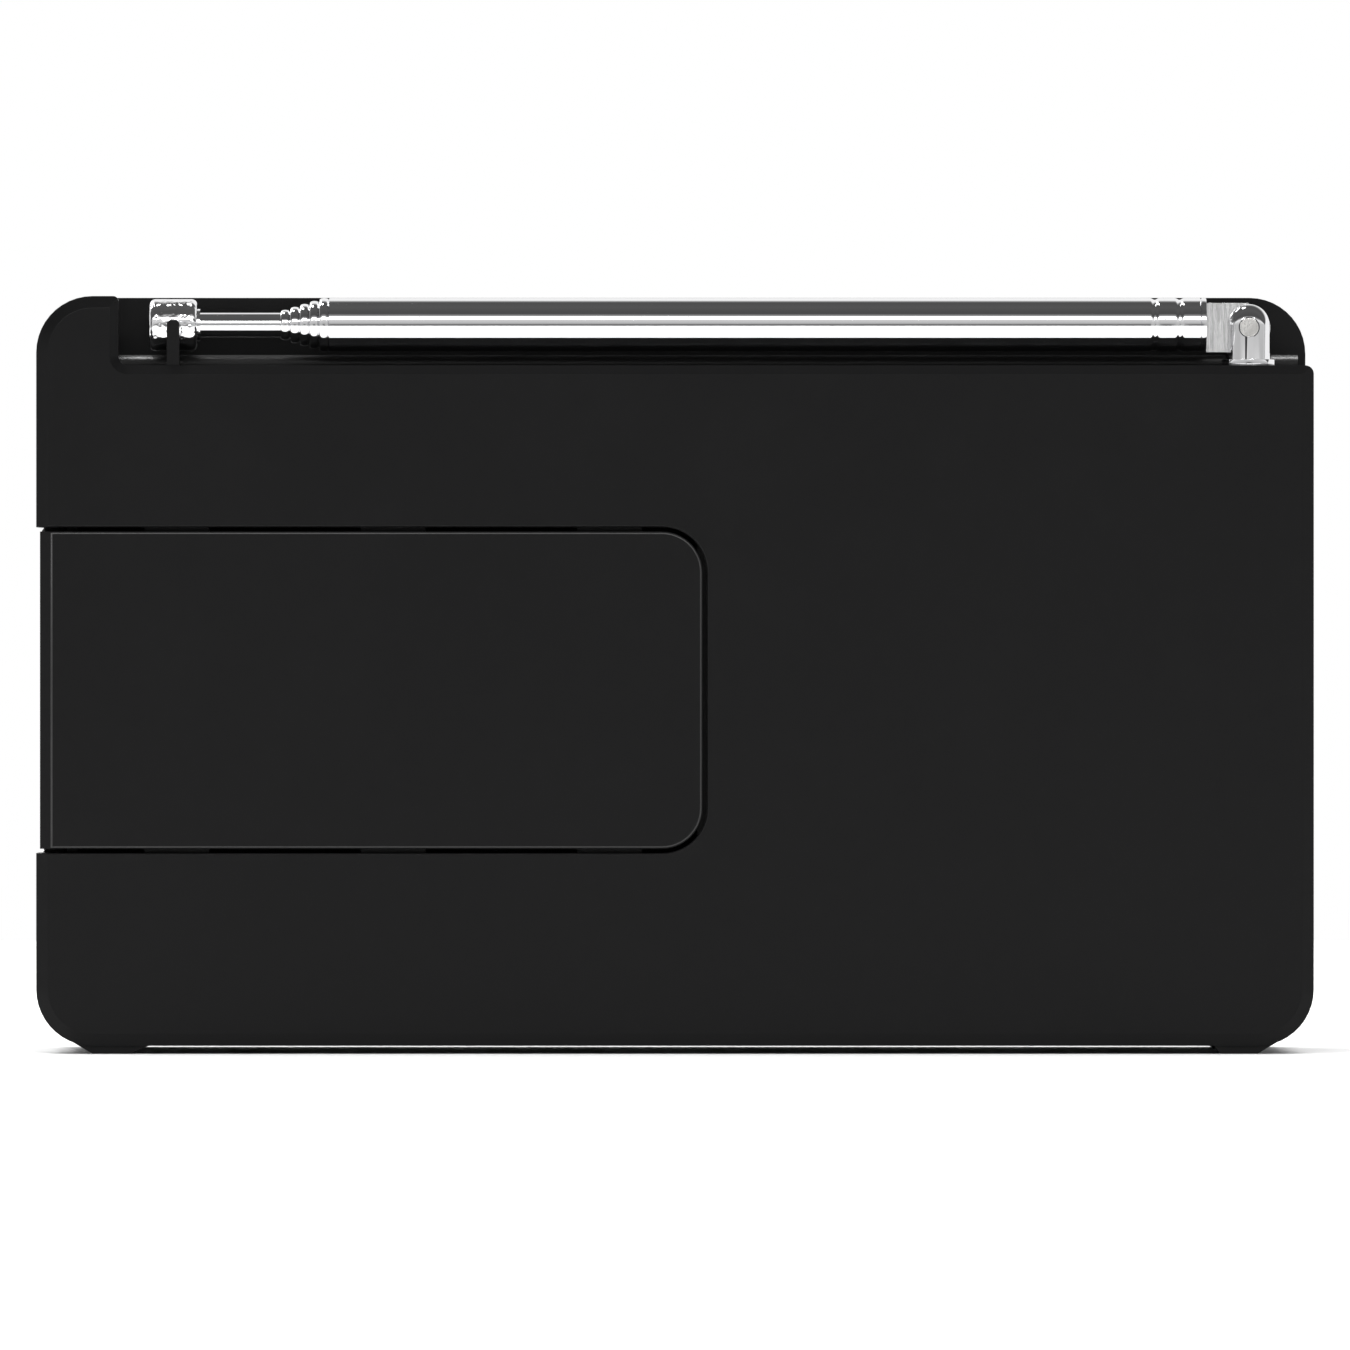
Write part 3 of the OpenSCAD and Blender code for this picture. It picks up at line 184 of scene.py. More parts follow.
def buildFloor():
    depth = floorSetup["front"] - floorSetup["back"]
    middle = (floorSetup["front"] + floorSetup["back"]) / 2
    bpy.ops.object.select_all(action="DESELECT")
    bpy.ops.mesh.primitive_plane_add(size=1, location=(0, middle, 0))
    floor = bpy.context.object
    floor.scale = (floorSetup["width"], depth, 1)
    settle(floor, "studioFloor")
    paint = bpy.data.materials.new("paleFloor")
    paint.use_nodes = True
    shader = paint.node_tree.nodes["Principled BSDF"]
    shader.inputs["Roughness"].default_value = floorSetup["rough"]
    shader.inputs["Specular IOR Level"].default_value = floorSetup["specular"]
    speckle = paint.node_tree.nodes.new("ShaderNodeTexNoise")
    speckle.inputs["Scale"].default_value = floorSetup["speckle"]
    ramp = paint.node_tree.nodes.new("ShaderNodeValToRGB")
    ramp.color_ramp.elements[0].color = (*[floorSetup["shade"] * c for c in floorSetup["tone"]], 1)
    ramp.color_ramp.elements[1].color = (*floorSetup["tone"], 1)
    paint.node_tree.links.new(speckle.outputs["Fac"], ramp.inputs["Fac"])
    paint.node_tree.links.new(ramp.outputs["Color"], shader.inputs["Base Color"])
    floor.data.materials.append(paint)


studioLights = {
    # name: (shape, size, size y, place, radiance, seen in gloss)
    "topPanel": ("RECTANGLE", 1.6, 1.6, (0, 0.05, 1.35), 3.6, False),
    "domeLampLeft": ("DISK", 0.46, 0.46, (0.49, -0.51, 0.73), 5, True),
    "domeLampRight": ("DISK", 0.2, 0.2, (0.2, -0.19, 1.0), 6, True),
    "edgeStrip": ("RECTANGLE", 1.5, 0.17, (0, 1.1, 0.67), 12, True),
}


def buildLights():
    for name, (shape, size, sizeY, place, radiance, glossy) in studioLights.items():
        bpy.ops.object.select_all(action="DESELECT")
        bpy.ops.object.light_add(type="AREA", location=place)
        light = bpy.context.object
        light.name = name
        light.data.shape = shape
        light.data.size = size
        light.data.size_y = sizeY
        area = size * sizeY if shape == "RECTANGLE" else math.pi * size * size / 4
        light.data.energy = radiance * math.pi * area
        light.rotation_euler = (Vector(place) - Vector((0, 0, 0.05))).to_track_quat("Z", "Y").to_euler()
        light.visible_glossy = glossy
        light.visible_camera = False


skySetup = {
    # angle in degrees up from the +Y horizon, over the top and down to the -Y horizon: brightness
    "bands": [(-180, 1.0), (-90, 0.5), (-6, 0.5), (0, 0.5), (14, 0.62), (34, 0.95), (40, 0.3),
              (48, 0.075), (80, 0.1), (112, 0.085), (122, 0.4), (130, 1.0), (180, 1.0)],
    "lensShade": 0.35,
    "lensWidth": 0.19,
    "lensHeight": 0.07,
}


def buildSky():
    world = bpy.data.worlds.new("softStudio")
    bpy.context.scene.world = world
    world.use_nodes = True
    tree = world.node_tree
    tree.nodes.clear()

    def add(kind, **values):
        node = tree.nodes.new(kind)
        for key, value in values.items():
            setattr(node, key, value)
        return node

    def math2(operation, a, b=None):
        node = add("ShaderNodeMath", operation=operation)
        for socket, value in zip(node.inputs, (a, b)):
            if value is None:
                continue
            if isinstance(value, (int, float)):
                socket.default_value = value
            else:
                tree.links.new(value, socket)
        return node.outputs[0]

    way = add("ShaderNodeTexCoord")
    parts = add("ShaderNodeSeparateXYZ")
    tree.links.new(way.outputs["Generated"], parts.inputs[0])
    x, y, z = parts.outputs
    angle = math2("ARCTAN2", z, y)
    turn = math2("ADD", math2("DIVIDE", angle, 2 * math.pi), 0.5)
    ramp = add("ShaderNodeValToRGB")
    tree.links.new(turn, ramp.inputs["Fac"])
    stops = ramp.color_ramp.elements
    for place, (degrees, tone) in enumerate(skySetup["bands"]):
        at = degrees / 360 + 0.5
        stop = stops[place] if place < 2 else stops.new(at)
        stop.position = at
        stop.color = (tone, tone, tone, 1)
    # the darker patch where the camera stands
    sideways = math2("DIVIDE", math2("ABSOLUTE", x), skySetup["lensWidth"])
    upright = math2("DIVIDE", math2("ABSOLUTE", z), skySetup["lensHeight"])
    spread = math2("ADD", math2("POWER", sideways, 4), math2("POWER", upright, 4))
    inFront = math2("GREATER_THAN", y, 0)
    dark = math2("MULTIPLY", math2("DIVIDE", 1 - skySetup["lensShade"], math2("ADD", spread, 1)), inFront)
    level = math2("SUBTRACT", 1, dark)
    shown = add("ShaderNodeMix", data_type="RGBA", blend_type="MULTIPLY")
    shown.inputs["Factor"].default_value = 1
    tree.links.new(ramp.outputs["Color"], shown.inputs["A"])
    tree.links.new(level, shown.inputs["B"])
    lightPath = add("ShaderNodeLightPath")
    studio = add("ShaderNodeBackground")
    tree.links.new(shown.outputs["Result"], studio.inputs["Color"])
    backdrop = add("ShaderNodeBackground")
    backdrop.inputs["Color"].default_value = (1, 1, 1, 1)
    mix = add("ShaderNodeMixShader")
    tree.links.new(lightPath.outputs["Is Camera Ray"], mix.inputs["Fac"])
    tree.links.new(studio.outputs[0], mix.inputs[1])
    tree.links.new(backdrop.outputs[0], mix.inputs[2])
    out = add("ShaderNodeOutputWorld")
    tree.links.new(mix.outputs[0], out.inputs["Surface"])


buildFloor()
buildLights()
buildSky()
print("camera, lights and floor are set")


def newGroup(name, inputs, outputs):
    group = bpy.data.node_groups.new(name, "ShaderNodeTree")
    for label, kind, value in inputs:
        socket = group.interface.new_socket(label, in_out="INPUT", socket_type=kind)
        if value is not None:
            socket.default_value = value
    for label, kind in outputs:
        group.interface.new_socket(label, in_out="OUTPUT", socket_type=kind)
    start = group.nodes.new("NodeGroupInput")
    end = group.nodes.new("NodeGroupOutput")
    return group, start, end


def node(tree, kind, inputs=None, **values):
    made = tree.nodes.new(kind)
    for key, value in values.items():
        setattr(made, key, value)
    for key, value in (inputs or {}).items():
        socket = made.inputs[key]
        if isinstance(value, bpy.types.NodeSocket):
            tree.links.new(value, socket)
        else:
            socket.default_value = value
    return made


def buildGrainGroup():
    # fine moulded or cast grain, with a second coarser layer that makes it uneven
    group, start, end = newGroup(
        "surfaceGrain",
        [("Vector", "NodeSocketVector", None), ("Size", "NodeSocketFloat", 0.15),
         ("Uneven", "NodeSocketFloat", 0.5)],
        [("Height", "NodeSocketFloat"), ("Patches", "NodeSocketFloat")],
    )
    scale = node(group, "ShaderNodeMath", {0: 1000.0, 1: start.outputs["Size"]}, operation="DIVIDE")
    fine = node(group, "ShaderNodeTexNoise", {"Vector": start.outputs["Vector"], "Scale": scale.outputs[0],
                                              "Detail": 2.0, "Roughness": 0.6})
    wide = node(group, "ShaderNodeMath", {0: scale.outputs[0], 1: 0.11}, operation="MULTIPLY")
    coarse = node(group, "ShaderNodeTexNoise", {"Vector": start.outputs["Vector"], "Scale": wide.outputs[0],
                                                "Detail": 3.0})
    share = node(group, "ShaderNodeMath", {0: coarse.outputs["Fac"], 1: start.outputs["Uneven"]},
                 operation="MULTIPLY")
    total = node(group, "ShaderNodeMath", {0: fine.outputs["Fac"], 1: share.outputs[0]}, operation="ADD")
    group.links.new(total.outputs[0], end.inputs["Height"])
    group.links.new(coarse.outputs["Fac"], end.inputs["Patches"])
    return group


def buildHandlingGroup():
    # soft smudges and a little dust from handling, as one mask
    group, start, end = newGroup(
        "handlingMarks",
        [("Vector", "NodeSocketVector", None), ("Size", "NodeSocketFloat", 14.0),
         ("Amount", "NodeSocketFloat", 0.5)],
        [("Mask", "NodeSocketFloat")],
    )
    scale = node(group, "ShaderNodeMath", {0: 1000.0, 1: start.outputs["Size"]}, operation="DIVIDE")
    smudge = node(group, "ShaderNodeTexNoise", {"Vector": start.outputs["Vector"], "Scale": scale.outputs[0],
                                                "Detail": 5.0, "Distortion": 0.8})
    shaped = node(group, "ShaderNodeMapRange", {"Value": smudge.outputs["Fac"], "From Min": 0.45,
                                                "From Max": 0.75, "To Min": 0.0,
                                                "To Max": start.outputs["Amount"]})
    group.links.new(shaped.outputs["Result"], end.inputs["Mask"])
    return group


def buildScratchGroup():
    # fine scratches: two crossing sets of long thin streaks
    group, start, end = newGroup(
        "fineScratches",
        [("Vector", "NodeSocketVector", None), ("Length", "NodeSocketFloat", 4.0),
         ("Thickness", "NodeSocketFloat", 0.05), ("Density", "NodeSocketFloat", 0.4)],
        [("Mask", "NodeSocketFloat")],
    )
    longway = node(group, "ShaderNodeMath", {0: 1000.0, 1: start.outputs["Length"]}, operation="DIVIDE")
    across = node(group, "ShaderNodeMath", {0: 1000.0, 1: start.outputs["Thickness"]}, operation="DIVIDE")
    masks = []
    for tilt in (0.12, -0.5):
        spin = node(group, "ShaderNodeVectorRotate", {"Vector": start.outputs["Vector"], "Angle": tilt},
                    rotation_type="Y_AXIS")
        sizes = node(group, "ShaderNodeCombineXYZ", {"X": longway.outputs[0], "Y": across.outputs[0],
                                                     "Z": across.outputs[0]})
        stretched = node(group, "ShaderNodeVectorMath", {0: spin.outputs["Vector"], 1: sizes.outputs[0]},
                         operation="MULTIPLY")
        streak = node(group, "ShaderNodeTexNoise", {"Vector": stretched.outputs["Vector"], "Scale": 1.0,
                                                    "Detail": 1.0})
        edge = node(group, "ShaderNodeMath", {0: 0.78, 1: start.outputs["Density"]}, operation="SUBTRACT")
        cut = node(group, "ShaderNodeMath", {0: edge.outputs[0], 1: 0.35}, operation="ADD")
        top = node(group, "ShaderNodeMath", {0: cut.outputs[0], 1: 0.1}, operation="ADD")
        line = node(group, "ShaderNodeMapRange", {"Value": streak.outputs["Fac"], "From Min": cut.outputs[0],
                                                  "From Max": top.outputs[0]})
        masks.append(line.outputs["Result"])
    both = node(group, "ShaderNodeMath", {0: masks[0], 1: masks[1]}, operation="MAXIMUM")
    group.links.new(both.outputs[0], end.inputs["Mask"])
    return group


grainGroup = buildGrainGroup()
handlingGroup = buildHandlingGroup()
scratchGroup = buildScratchGroup()


def useGroup(tree, group, vector, **values):
    placed = tree.nodes.new("ShaderNodeGroup")
    placed.node_tree = group
    tree.links.new(vector, placed.inputs["Vector"])
    for key, value in values.items():
        placed.inputs[key.title()].default_value = value
    return placed


coatRoughness = 0.05


def startMaterial(name, look):
    # metallic, specular, coat, transmission and ior are even all over the surface
    paint = bpy.data.materials.new(name)
    paint.use_nodes = True
    tree = paint.node_tree
    shader = tree.nodes["Principled BSDF"]
    shader.inputs["Metallic"].default_value = look.get("metallic", 0)
    shader.inputs["Specular IOR Level"].default_value = look.get("specular", 0.5)
    shader.inputs["Coat Weight"].default_value = look.get("coat", 0)
    shader.inputs["Coat Roughness"].default_value = coatRoughness
    shader.inputs["Transmission Weight"].default_value = look.get("transmission", 0)
    shader.inputs["IOR"].default_value = look.get("ior", 1.5)
    place = tree.nodes.new("ShaderNodeTexCoord").outputs["Object"]
    return paint, tree, shader, place


def bandScale(pitch):
    # the scale that gives the wave texture one band for each pitch, in millimetres
    return 1000 / pitch / 6.2832


def wireTone(tree, shader, mask, low, high):
    mix = node(tree, "ShaderNodeMix", {"Factor": mask, "A": (*low, 1), "B": (*high, 1)}, data_type="RGBA")
    tree.links.new(mix.outputs["Result"], shader.inputs["Base Color"])


def wireRoughness(tree, shader, mask, low, high):
    spread = node(tree, "ShaderNodeMapRange", {"Value": mask, "To Min": low, "To Max": high})
    tree.links.new(spread.outputs["Result"], shader.inputs["Roughness"])


def wireBump(tree, shader, height, strength, depth):
    bump = node(tree, "ShaderNodeBump", {"Height": height, "Strength": strength, "Distance": depth * mm})
    tree.links.new(bump.outputs["Normal"], shader.inputs["Normal"])


def mouldedFinish(name, look):
    # moulded, cast or printed surface: grain in the bump, patches in the tone, smudges in the gloss
    paint, tree, shader, place = startMaterial(name, look)
    grain = useGroup(tree, grainGroup, place, size=look["grain"], uneven=look.get("uneven", 0.4))
    marks = useGroup(tree, handlingGroup, place, size=look.get("markSize", 14), amount=look.get("marks", 0.5))
    low = look["tone"]
    high = look.get("toneHigh", tuple(1.18 * c for c in low))
    wireTone(tree, shader, grain.outputs["Patches"], low, high)
    rough = look["rough"]
    wireRoughness(tree, shader, marks.outputs["Mask"], rough, rough + look.get("spread", 0.08))
    wireBump(tree, shader, grain.outputs["Height"], look.get("bump", 0.3), look.get("depth", 0.02))
    return paint


def metalFinish(name, look):
    # plated or turned metal: streaks along one direction, fine scratches and faint smudges
    paint, tree, shader, place = startMaterial(name, {"metallic": 1, **look})
    sizes = look.get("streak", (3, 0.08, 0.08))
    mapping = node(tree, "ShaderNodeMapping", {"Vector": place, "Scale": tuple(1000 / s for s in sizes)})
    streak = node(tree, "ShaderNodeTexNoise", {"Vector": mapping.outputs["Vector"], "Scale": 1.0,
                                               "Detail": 3.0})
    scratches = useGroup(tree, scratchGroup, place, length=look.get("scratchLength", 4),
                         thickness=look.get("scratchWidth", 0.03), density=look.get("scratches", 0.3))
    marks = useGroup(tree, handlingGroup, place, size=look.get("markSize", 9), amount=1)
    blend = node(tree, "ShaderNodeMix", {"Factor": 0.5, "A": streak.outputs["Fac"],
                                         "B": marks.outputs["Mask"]}, data_type="FLOAT")
    worn = node(tree, "ShaderNodeMath", {0: blend.outputs["Result"], 1: scratches.outputs["Mask"]},
                operation="MAXIMUM")
    wireTone(tree, shader, streak.outputs["Fac"], look["tone"], look.get("toneHigh", look["tone"]))
    wireRoughness(tree, shader, worn.outputs[0], look["rough"], look["rough"] + look.get("spread", 0.1))
    wireBump(tree, shader, streak.outputs["Fac"], look.get("bump", 0.15), look.get("depth", 0.004))
    return paint


# one finish for each slot of the record
finishLooks = {
    "cabinet_plastic": {"tone": (0.0045, 0.0045, 0.0046), "rough": 0.3, "specular": 0.1,
                        "grain": 0.16, "bump": 0.28, "depth": 0.012, "marks": 0.5, "spread": 0.07},
    "grille_metal": {"tone": (0.011, 0.011, 0.012), "rough": 0.38, "specular": 0.45, "grain": 0.1,
                     "bump": 0.2, "coat": 0.15},
    "cone_paper": {"tone": (0.012, 0.012, 0.013), "toneHigh": (0.03, 0.029, 0.028), "rough": 0.75,
                   "grain": 0.35, "bump": 0.9, "depth": 0.06, "uneven": 1.2},
    "ferrite": {"tone": (0.025, 0.025, 0.027), "toneHigh": (0.05, 0.05, 0.052), "rough": 0.5,
                "grain": 0.12, "bump": 0.5, "depth": 0.02, "uneven": 0.8},
    "pointer_red": {"tone": (0.55, 0.02, 0.012), "rough": 0.3, "grain": 0.08, "bump": 0.1},
    "dial_black": {"tone": (0.008, 0.008, 0.009), "rough": 0.55, "grain": 0.09, "bump": 0.25},
    "wheel_plastic": {"tone": (0.0075, 0.0075, 0.008), "rough": 0.33, "specular": 0.4, "grain": 0.12,
                      "bump": 0.3, "marks": 0.8},
    "white_plastic": {"tone": (0.66, 0.64, 0.58), "toneHigh": (0.7, 0.68, 0.62), "rough": 0.42,
                      "grain": 0.3, "bump": 0.15},
    "phenolic": {"tone": (0.09, 0.05, 0.025), "toneHigh": (0.15, 0.085, 0.04), "rough": 0.5,
                 "grain": 0.25, "bump": 0.35, "uneven": 1.0},
    "switch_grey": {"tone": (0.27, 0.27, 0.28), "rough": 0.36, "grain": 0.14, "bump": 0.2},
    "chip_plastic": {"tone": (0.016, 0.016, 0.017), "rough": 0.55, "grain": 0.07, "bump": 0.6},
    "wire_white": {"tone": (0.72, 0.71, 0.66), "rough": 0.38, "grain": 0.5, "bump": 0.1},
    "wire_red": {"tone": (0.45, 0.025, 0.02), "rough": 0.36, "grain": 0.5, "bump": 0.1},
    "capacitor_sleeve": {"tone": (0.018, 0.03, 0.12), "rough": 0.26, "grain": 0.6, "bump": 0.25,
                         "depth": 0.03, "coat": 0.4},
}

metalLooks = {
    "chrome": {"tone": (0.86, 0.86, 0.87), "rough": 0.045, "spread": 0.06, "bump": 0.05, "depth": 0.002,
               "streak": (9, 0.12, 0.12), "scratches": 0.24},
    "nickel": {"tone": (0.66, 0.65, 0.63), "toneHigh": (0.76, 0.75, 0.73), "rough": 0.2, "spread": 0.16,
               "bump": 0.3, "depth": 0.01, "streak": (0.12, 2.5, 2.5)},
    "steel": {"tone": (0.5, 0.51, 0.52), "toneHigh": (0.6, 0.6, 0.61), "rough": 0.3, "spread": 0.15,
              "streak": (2.5, 0.2, 0.2)},
    "zinc": {"tone": (0.56, 0.57, 0.58), "toneHigh": (0.66, 0.66, 0.63), "rough": 0.3, "spread": 0.2,
             "streak": (0.6, 0.6, 0.6), "bump": 0.3},
    "brass": {"tone": (0.68, 0.5, 0.22), "toneHigh": (0.76, 0.58, 0.28), "rough": 0.24, "spread": 0.18,
              "streak": (0.1, 1.5, 1.5)},
}

finishes = {}
for slotName, look in finishLooks.items():
    finishes[slotName] = mouldedFinish(slotName + "Finish", look)
for slotName, look in metalLooks.items():
    finishes[slotName] = metalFinish(slotName + "Finish", look)
print("shared finishes are made")


lensLook = {"tone": (0.97, 0.98, 0.98), "rough": 0.03, "transmission": 1, "ior": 1.49, "roughWorn": 0.2}


def lensFinish():
    paint, tree, shader, place = startMaterial("clearLensFinish", lensLook)
    shader.inputs["Base Color"].default_value = (*lensLook["tone"], 1)
    scratches = useGroup(tree, scratchGroup, place, length=6, thickness=0.04, density=0.3)
    wireRoughness(tree, shader, scratches.outputs["Mask"], lensLook["rough"], lensLook["roughWorn"])
    grain = useGroup(tree, grainGroup, place, size=3, uneven=0.2)
    wireBump(tree, shader, grain.outputs["Height"], 0.05, 0.01)
    return paint


ledLook = {"tone": (0.62, 0.02, 0.012), "toneHigh": (0.75, 0.05, 0.03), "rough": 0.12, "roughWorn": 0.25,
           "transmission": 0.55, "ior": 1.52, "coat": 0.3}


def ledFinish():
    paint, tree, shader, place = startMaterial("ledRedFinish", ledLook)
    grain = useGroup(tree, grainGroup, place, size=0.5, uneven=0.6)
    wireTone(tree, shader, grain.outputs["Patches"], ledLook["tone"], ledLook["toneHigh"])
    wireRoughness(tree, shader, grain.outputs["Patches"], ledLook["rough"], ledLook["roughWorn"])
    return paint


boardLook = {"tone": (0.3, 0.2, 0.075), "toneHigh": (0.42, 0.3, 0.12), "copper": (0.52, 0.22, 0.1),
             "rough": 0.42, "trackRough": 0.24, "trackPitch": 2.54}


def boardFinish():
    # phenolic paper laminate with tracks that run along a grid
    paint, tree, shader, place = startMaterial("boardFinish", {"specular": 0.45})
    grain = useGroup(tree, grainGroup, place, size=0.4, uneven=1.0)
    base = node(tree, "ShaderNodeMix", {"Factor": grain.outputs["Patches"], "A": (*boardLook["tone"], 1),
                                        "B": (*boardLook["toneHigh"], 1)}, data_type="RGBA")
    scale = 1000 / (boardLook["trackPitch"] * 4)
    tracks = node(tree, "ShaderNodeTexBrick", {"Scale": scale, "Mortar Size": 0.045, "Mortar Smooth": 0.02,
                                               "Brick Width": 0.9, "Row Height": 0.25,
                                               "Color1": (0, 0, 0, 1), "Color2": (0, 0, 0, 1),
                                               "Mortar": (1, 1, 1, 1)})
    turned = node(tree, "ShaderNodeMapping", {"Vector": place, "Rotation": (math.pi / 2, 0, 0)})
    tree.links.new(turned.outputs["Vector"], tracks.inputs["Vector"])
    mix = node(tree, "ShaderNodeMix", {"Factor": tracks.outputs["Color"], "A": base.outputs["Result"],
                                       "B": (*boardLook["copper"], 1)}, data_type="RGBA")
    tree.links.new(mix.outputs["Result"], shader.inputs["Base Color"])
    wireRoughness(tree, shader, tracks.outputs["Fac"], boardLook["rough"], boardLook["trackRough"])
    wireBump(tree, shader, tracks.outputs["Fac"], 0.5, 0.03)
    return paint


resistorLook = {"tone": (0.62, 0.47, 0.27), "rough": 0.28, "roughWorn": 0.4, "bandWidth": 0.3, "coat": 0.4,
                "halfLength": 1.99, "wire": (0.6, 0.6, 0.58),
                "bands": [(-1.15, (0.3, 0.02, 0.02)), (-0.5, (0.02, 0.02, 0.02)), (0.15, (0.6, 0.12, 0.01)),
                          (1.1, (0.5, 0.33, 0.08))]}


def resistorFinish():
    # a lacquered body with painted rings; the wires at both ends are bare
    paint, tree, shader, place = startMaterial("resistorFinish", resistorLook)
    low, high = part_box("resistors")
    middle = (low.z + high.z) / 2
    height = node(tree, "ShaderNodeSeparateXYZ", {"Vector": place}).outputs["Z"]
    tone = (*resistorLook["tone"], 1)
    for offset, colour in resistorLook["bands"]:
        away = node(tree, "ShaderNodeMath", {0: height, 1: middle + offset * mm}, operation="SUBTRACT")
        size = node(tree, "ShaderNodeMath", {0: away.outputs[0]}, operation="ABSOLUTE")
        inside = node(tree, "ShaderNodeMath", {0: size.outputs[0], 1: resistorLook["bandWidth"] * mm / 2},
                      operation="LESS_THAN")
        ring = node(tree, "ShaderNodeMix", {"Factor": inside.outputs[0], "A": tone, "B": (*colour, 1)},
                    data_type="RGBA")
        tone = ring.outputs["Result"]
    away = node(tree, "ShaderNodeMath", {0: height, 1: middle}, operation="SUBTRACT")
    size = node(tree, "ShaderNodeMath", {0: away.outputs[0]}, operation="ABSOLUTE")
    bare = node(tree, "ShaderNodeMath", {0: size.outputs[0], 1: resistorLook["halfLength"] * mm},
                operation="GREATER_THAN")
    wire = node(tree, "ShaderNodeMix", {"Factor": bare.outputs[0], "A": tone,
                                        "B": (*resistorLook["wire"], 1)}, data_type="RGBA")
    tree.links.new(wire.outputs["Result"], shader.inputs["Base Color"])
    tree.links.new(bare.outputs[0], shader.inputs["Metallic"])
    grain = useGroup(tree, grainGroup, place, size=0.6, uneven=0.6)
    wireRoughness(tree, shader, grain.outputs["Patches"], resistorLook["rough"], resistorLook["roughWorn"])
    wireBump(tree, shader, grain.outputs["Height"], 0.2, 0.03)
    return paint


windingLook = {"tone": (0.42, 0.14, 0.05), "toneHigh": (0.62, 0.26, 0.11), "rough": 0.28, "roughWorn": 0.42,
               "metallic": 0.85, "wire": 0.22}


def windingFinish():
    # enamelled copper, with one groove for each turn of the wire
    paint, tree, shader, place = startMaterial("copperFinish", windingLook)
    turns = node(tree, "ShaderNodeTexWave", {"Vector": place, "Scale": bandScale(windingLook["wire"]),
                                             "Distortion": 0.4, "Detail": 1.0},
                 wave_type="BANDS", bands_direction="X")
    grain = useGroup(tree, grainGroup, place, size=0.5, uneven=0.8)
    wireTone(tree, shader, grain.outputs["Patches"], windingLook["tone"], windingLook["toneHigh"])
    wireRoughness(tree, shader, turns.outputs["Fac"], windingLook["roughWorn"], windingLook["rough"])
    wireBump(tree, shader, turns.outputs["Fac"], 0.8, 0.08)
    return paint


finishes["clear_lens"] = lensFinish()
finishes["led_red"] = ledFinish()
finishes["board"] = boardFinish()
finishes["resistor_body"] = resistorFinish()
finishes["copper"] = windingFinish()
finishes["cell_sleeve"] = mouldedFinish("cellSleeveFinish", {
    "tone": (0.03, 0.075, 0.065), "rough": 0.22, "grain": 1.2, "bump": 0.2, "depth": 0.03, "coat": 0.5,
    "marks": 0.9})

slotOf = {name: part.data.materials[0].name.split(".")[0] for name, part in nodes.items()}
for name, part in nodes.items():
    part.data.materials[0] = finishes[slotOf[name]]
print("every CAD node has its finish")


def finishPiece(piece, body, replaced, slotName, material=None):
    if not piece.data.materials:
        piece.data.materials.append(material or finishes[slotName])
    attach(piece, body)
    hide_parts(*replaced)


bodyOf = {name: body for body, names in frame["record"]["behaviour"]["bodies"].items() for name in names}

# the moulded shells: each crease gets the small radius a mould leaves
shellEdges = {"bandDepth": 0.7, "faceRadius": 0.1, "sideRadius": 0.14, "openingRadius": 0.07,
              "doorRadius": 0.09, "topRadius": 0.3, "splitDepth": 8, "nearDoor": 0.8, "bayDrop": 6.4,
              "lipRadius": 0.12, "lipLeast": 4, "lipBelow": 1.5, "lipAbove": 0.3, "fillet": 1.1}
# hands polish the moulding grain off the lip of the bay and the edges of the door, and their lighter tone is
# a painted highlight along these creases
polishHighlightLook = {"tone": (0.021, 0.021, 0.021), "rough": 0.3, "specular": 0.25, "grain": 0.1, "bump": 0.1,
              "marks": 0.3}
# the root of the bay is glossier, as the smooth tool left it, and its lighter tone is a painted highlight
# along the fillet
rootHighlightLook = {"tone": (0.009, 0.009, 0.009), "rough": 0.25, "specular": 1.0, "grain": 0.16, "bump": 0.5,
            "depth": 0.03, "uneven": 0.9, "marks": 0.4}


# their places among a shell's material slots, after the plain plastic
polishHighlightSlot, rootHighlightSlot = 1, 2


def onPlane(y):
    return lambda a, b: abs(a.y - y) < flatness and abs(b.y - y) < flatness


